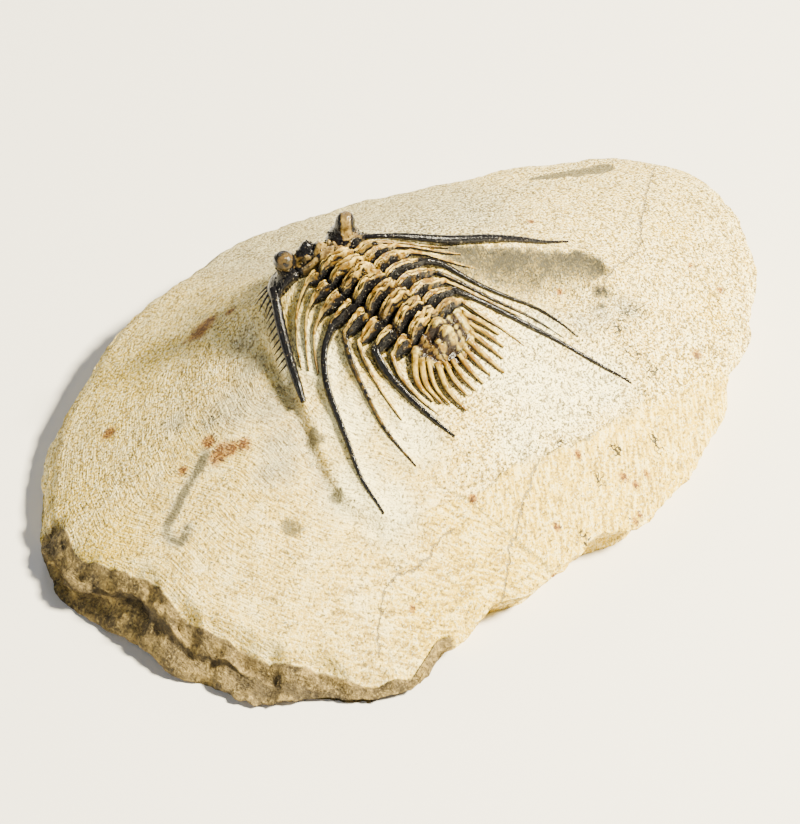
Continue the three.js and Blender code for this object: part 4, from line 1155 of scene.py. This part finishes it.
def cheek_fringe(name, side, path):
    """Short spines in a row along the cheek's margin and on along its genal spine."""
    margin = [tuple(float(c) for c in cheek_place(side, side, f)) for f in (0.25, 0.6)]
    line = smooth_path([*margin, *path[:3]], 0.1)
    line = line[np.linspace(0, len(line) - 1, FRINGE_SPINES + 2).astype(int)]
    fringe = []
    for before, here, after in zip(line, line[1:], line[2:]):
        tx, ty = (after - before) / np.hypot(*(after - before))
        outwards = np.array([side * -ty, side * tx])
        tip = here + outwards * FRINGE_LENGTH
        tip = tip + np.array([tx, ty]) * 0.35 * FRINGE_LENGTH
        middle = (here + tip) / 2 + outwards * 0.12
        fringe.append(([tuple(here), tuple(middle), tuple(tip)], FRINGE_THICKNESS, 0.1))
    curves = spine_curves(name + "_fringe", fringe)
    return grow(curves, spines, Finish=head_calcite, Sides=8, Roughness=0.05 * MM)


# The head's shell: nearly all black, with the lobes and lenses a dull brown.
head_calcite = calcite_material("head_calcite", "#050404", "#151518", "#574320", "#937c45",
                                "#4a3d2a")
spines = spine_tree()

points, faces, u, v = patch_points(84, 64, cranidium_place, cranidium_lift, 0.1)
w = u * cranidium_half_width(u, v)
head_dark = 0.8 * smooth_step(0.3, 0.5, front_lobe(w, v)) + 0.8 * bell(v - 0.17, 0.05)
head_dark = head_dark + 0.6 * bell(np.abs(w) - 1.2, 0.3) + 0.6 * smooth_step(0.85, 0.95, v)
head_dark = head_dark + 0.35 * smooth_step(-1.4, -2.0, w)
head_dark = head_dark + 0.5 * smooth_step(0.85, 1, np.abs(u))
cranidium = add_piece("cranidium_shell", points, faces, {
    "dark": np.tile(np.clip(head_dark, 0, 1), 2),
    "granular": np.repeat([0.8, 0.0], len(u)),
})
cranidium = grow(cranidium, tubercles, Finish=head_calcite, Seed=11)
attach(cranidium, "root")
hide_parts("cranidium")

for name, side, eye, path in (("left", -1, LEFT_EYE, GENAL_LEFT),
                              ("right", 1, RIGHT_EYE, GENAL_RIGHT)):
    cheek = join_pieces(name + "_cheek", [
        cheek_plate(name, side), eye_on_stalk(name, side, eye),
        genal_spine(name, side, path), cheek_fringe(name, side, path)])
    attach(cheek, "root")
    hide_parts(name + "_free_cheek")

# The tail shield
# A half-round plate with a short ringed axis and ribs, and twelve spines on its margin. The shell
# is paler here, and darker in its deep furrows and hollows and between its ribs.

TAIL_START, TAIL_LENGTH = 8.06, 3.9
# Lumps and broken hollows of the crushed shell: plan centre, reach and height.
TAIL_RELIEF = [
    (-1.2, -5.5, 0.8, 0.6), (-1.1, -6.9, 0.7, 0.55), (-3.0, -7.2, 0.8, 0.5),
    (-5.4, -7.6, 0.7, 0.5), (-6.6, -6.0, 0.6, 0.4), (-5.3, -6.4, 0.5, -0.9),
    (-4.8, -7.3, 0.4, -0.7), (-3.9, -8.7, 0.95, -1.0), (-2.1, -5.1, 0.45, -0.7),
    (-7.5, -7.0, 0.5, -0.6), (-2.0, -6.2, 0.35, -0.5),
]
# Each spine's place round the margin from -1 to 1, its length, and its direction in
# degrees at the root and at the tip.
TAIL_SPINES = [
    (-0.97, 5.0, -38, 6), (-0.81, 4.8, -30, 8), (-0.65, 4.6, -24, 8), (-0.46, 5.4, -14, 12),
    (-0.28, 3.8, -6, 12), (-0.1, 3.6, 2, 14), (0.08, 3.6, 9, 17), (0.25, 3.6, 15, 20),
    (0.42, 4.8, 22, 24), (0.6, 4.4, 32, 26), (0.78, 4.6, 42, 30), (0.96, 4.6, 52, 34),
]
LONG_SPINE, LONG_SPINE_SIZE, SHORT_SPINE_SIZE = 4.7, 0.46, 0.36
RIB_WAVES = 16


def tail_point(sideways, backward):
    """Plan point for a share of the tail's half width and of its length."""
    ax, ay = axis_at(TAIL_START)
    lx, ly = left_fulcrum_at(TAIL_START)
    rx, ry = right_fulcrum_at(TAIL_START)
    reach = np.where(sideways < 0, ax - lx - 0.75, rx - 0.55 - ax)
    rise = np.where(sideways < 0, ly - ay - 0.1, ry - ay - 0.1)
    return (ax + sideways * reach + 0.16 * TAIL_LENGTH * backward,
            ay + np.abs(sideways) * rise * (1 - backward) - TAIL_LENGTH * backward)


def tail_place(u, v):
    return tail_point(u * np.sqrt(1 - v * v / 2), v * np.sqrt(1 - u * u / 2))


def tail_lines(u, v):
    """The fine raised lines that run round the rings of the tail's axis."""
    return bell(np.mod(6.5 * v + 2.2 * u * u, 1) - 0.5, 0.16) * bell(u, 0.55)


def tail_relief(u, v):
    px, py = tail_place(u, v)
    return sum(height * near_patches([(x, y, reach)], px, py)
               for x, y, reach, height in TAIL_RELIEF)


def tail_lift(u, v):
    axis_lobe = 1.9 * bell(u, 0.3) * (1 - smooth_step(0.5, 0.8, v))
    rings = 0.5 * bell(u, 0.32) * (bell(v - 0.12, 0.1) + bell(v - 0.42, 0.1))
    ribs = 0.34 * np.cos(np.abs(u) * RIB_WAVES) * smooth_step(0.25, 0.45, np.abs(u)) * (1 - v)
    return np.maximum(0.25, 0.6 + axis_lobe + rings + ribs - 0.12 * tail_lines(u, v)
                      + tail_relief(u, v))


def step_towards(degrees):
    """Unit step on the plan, straight back at 0 and to the right at 90 degrees."""
    return np.array([math.sin(math.radians(degrees)), -math.cos(math.radians(degrees))])


# The tail's shell: crushed and pale tan, brown in its hollows.
tail_calcite = calcite_material("tail_calcite", "#080503", "#2a1f17", "#725c20", "#b8a75a",
                                "#66491a")
points, faces, u, v = patch_points(90, 56, tail_place, tail_lift, 0.1)
furrows = 1.6 * np.maximum(0, -tail_relief(u, v)) + 0.9 * bell(v - 0.27, 0.05) * bell(u, 0.5)
furrows = furrows + 0.8 * bell(np.abs(u) - 0.36, 0.06) * smooth_step(0.95, 0.6, v)
ribs_dark = 0.5 - 0.5 * np.cos(np.abs(u) * RIB_WAVES)
ribs_dark = 0.75 * ribs_dark * smooth_step(0.3, 0.5, np.abs(u))
tail_plate = add_piece("tail_plate", points, faces, {
    "dark": np.tile(np.clip(furrows + ribs_dark + 0.55 * tail_lines(u, v), 0, 1), 2),
    "granular": np.repeat([0.6, 0.0], len(u)),
})
tail_plate = grow(tail_plate, tubercles, Finish=tail_calcite, Seed=31)
rays = []
for place, length, root_turn, tip_turn in TAIL_SPINES:
    around = math.radians(place * 85)
    root = tail_point(0.86 * math.sin(around), 0.86 * math.cos(around))
    root = np.array([float(c) for c in root])
    bend = root + step_towards(root_turn) * length / 2
    tip = bend + step_towards(tip_turn) * length / 2
    size = LONG_SPINE_SIZE if length > LONG_SPINE else SHORT_SPINE_SIZE
    rays.append(([tuple(root), tuple(bend), tuple(tip)], (size, size * 0.85, size * 0.35), 0.45))
# The tail's spines: honey on their backs, and darker on their flanks, where painted shade lies.
ray_calcite = calcite_material("ray_calcite", "#120b06", "#2a1d14", "#67500f", "#b89c42",
                               "#6a4a0e")
rays = grow(spine_curves("tail_rays", rays, 0.7), spines, Finish=ray_calcite,
            Roughness=0.1 * MM, Darkness=0.15, Flank=0.6)
tail = join_pieces("tail_shield", [tail_plate, rays])
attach(tail, "root")
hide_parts("pygidium")

# The studio
# A plain pale floor, a key lamp high on the right that throws a clear shadow, weak
# lamps on the left and behind, and the camera at the picture's viewing angle.

# A matt painted board, which gives the eye an even pale ground without any gloss.
floor_mesh = bpy.data.meshes.new("studio_floor")
floor_mesh.from_pydata([(-2, -2, 0), (2, -2, 0), (2, 2, 0), (-2, 2, 0)], [], [(0, 1, 2, 3)])
floor = bpy.data.objects.new("studio_floor", floor_mesh)
bpy.context.scene.collection.objects.link(floor)
floor_paint = bpy.data.materials.new("pale_floor")
floor_paint.use_nodes = True
floor_shader = floor_paint.node_tree.nodes["Principled BSDF"]
floor_shader.inputs["Base Color"].default_value = linear("#dcdad5")
floor_shader.inputs["Roughness"].default_value = 0.95
floor.data.materials.append(floor_paint)

# The lamps and the camera point at the middle of what the picture shows.
TARGET = Vector((-0.00733, -0.00521, 0.01154))
for name, place, size, power, colour in (
    ("key_lamp", (0.30, -0.42, 0.60), 0.12, 54.0, "#fff3d4"),
    ("fill_lamp", (-0.60, 0.05, 0.45), 0.5, 1.6, "#e8edf6"),
    ("rim_lamp", (0.35, 0.5, 0.4), 0.2, 1.5, "#ffffff"),
):
    data = bpy.data.lights.new(name, "AREA")
    data.size = size
    data.energy = power
    data.color = linear(colour)[:3]
    lamp = bpy.data.objects.new(name, data)
    lamp.location = place
    lamp.rotation_mode = "QUATERNION"
    lamp.rotation_quaternion = (TARGET - Vector(place)).to_track_quat("-Z", "Y")
    bpy.context.scene.collection.objects.link(lamp)
world = bpy.data.worlds.new("studio_air")
world.use_nodes = True
sky = world.node_tree.nodes["Background"]
sky.inputs["Color"].default_value = linear("#dfe4ea")
sky.inputs["Strength"].default_value = 0.24
bpy.context.scene.world = world

# The camera's place and lens were solved from the stone's outline and the tips of
# the spines in the picture.
camera_data = bpy.data.cameras.new("camera")
camera_data.lens = 135.64
camera_data.sensor_fit = "VERTICAL"
camera_data.sensor_height = 36
camera_data.sensor_width = 36
camera = bpy.data.objects.new("camera", camera_data)
camera.location = (-0.19179, -0.19583, 0.28370)
camera.rotation_mode = "QUATERNION"
camera.rotation_quaternion = (TARGET - camera.location).to_track_quat("-Z", "Y")
bpy.context.scene.collection.objects.link(camera)
bpy.context.scene.camera = camera
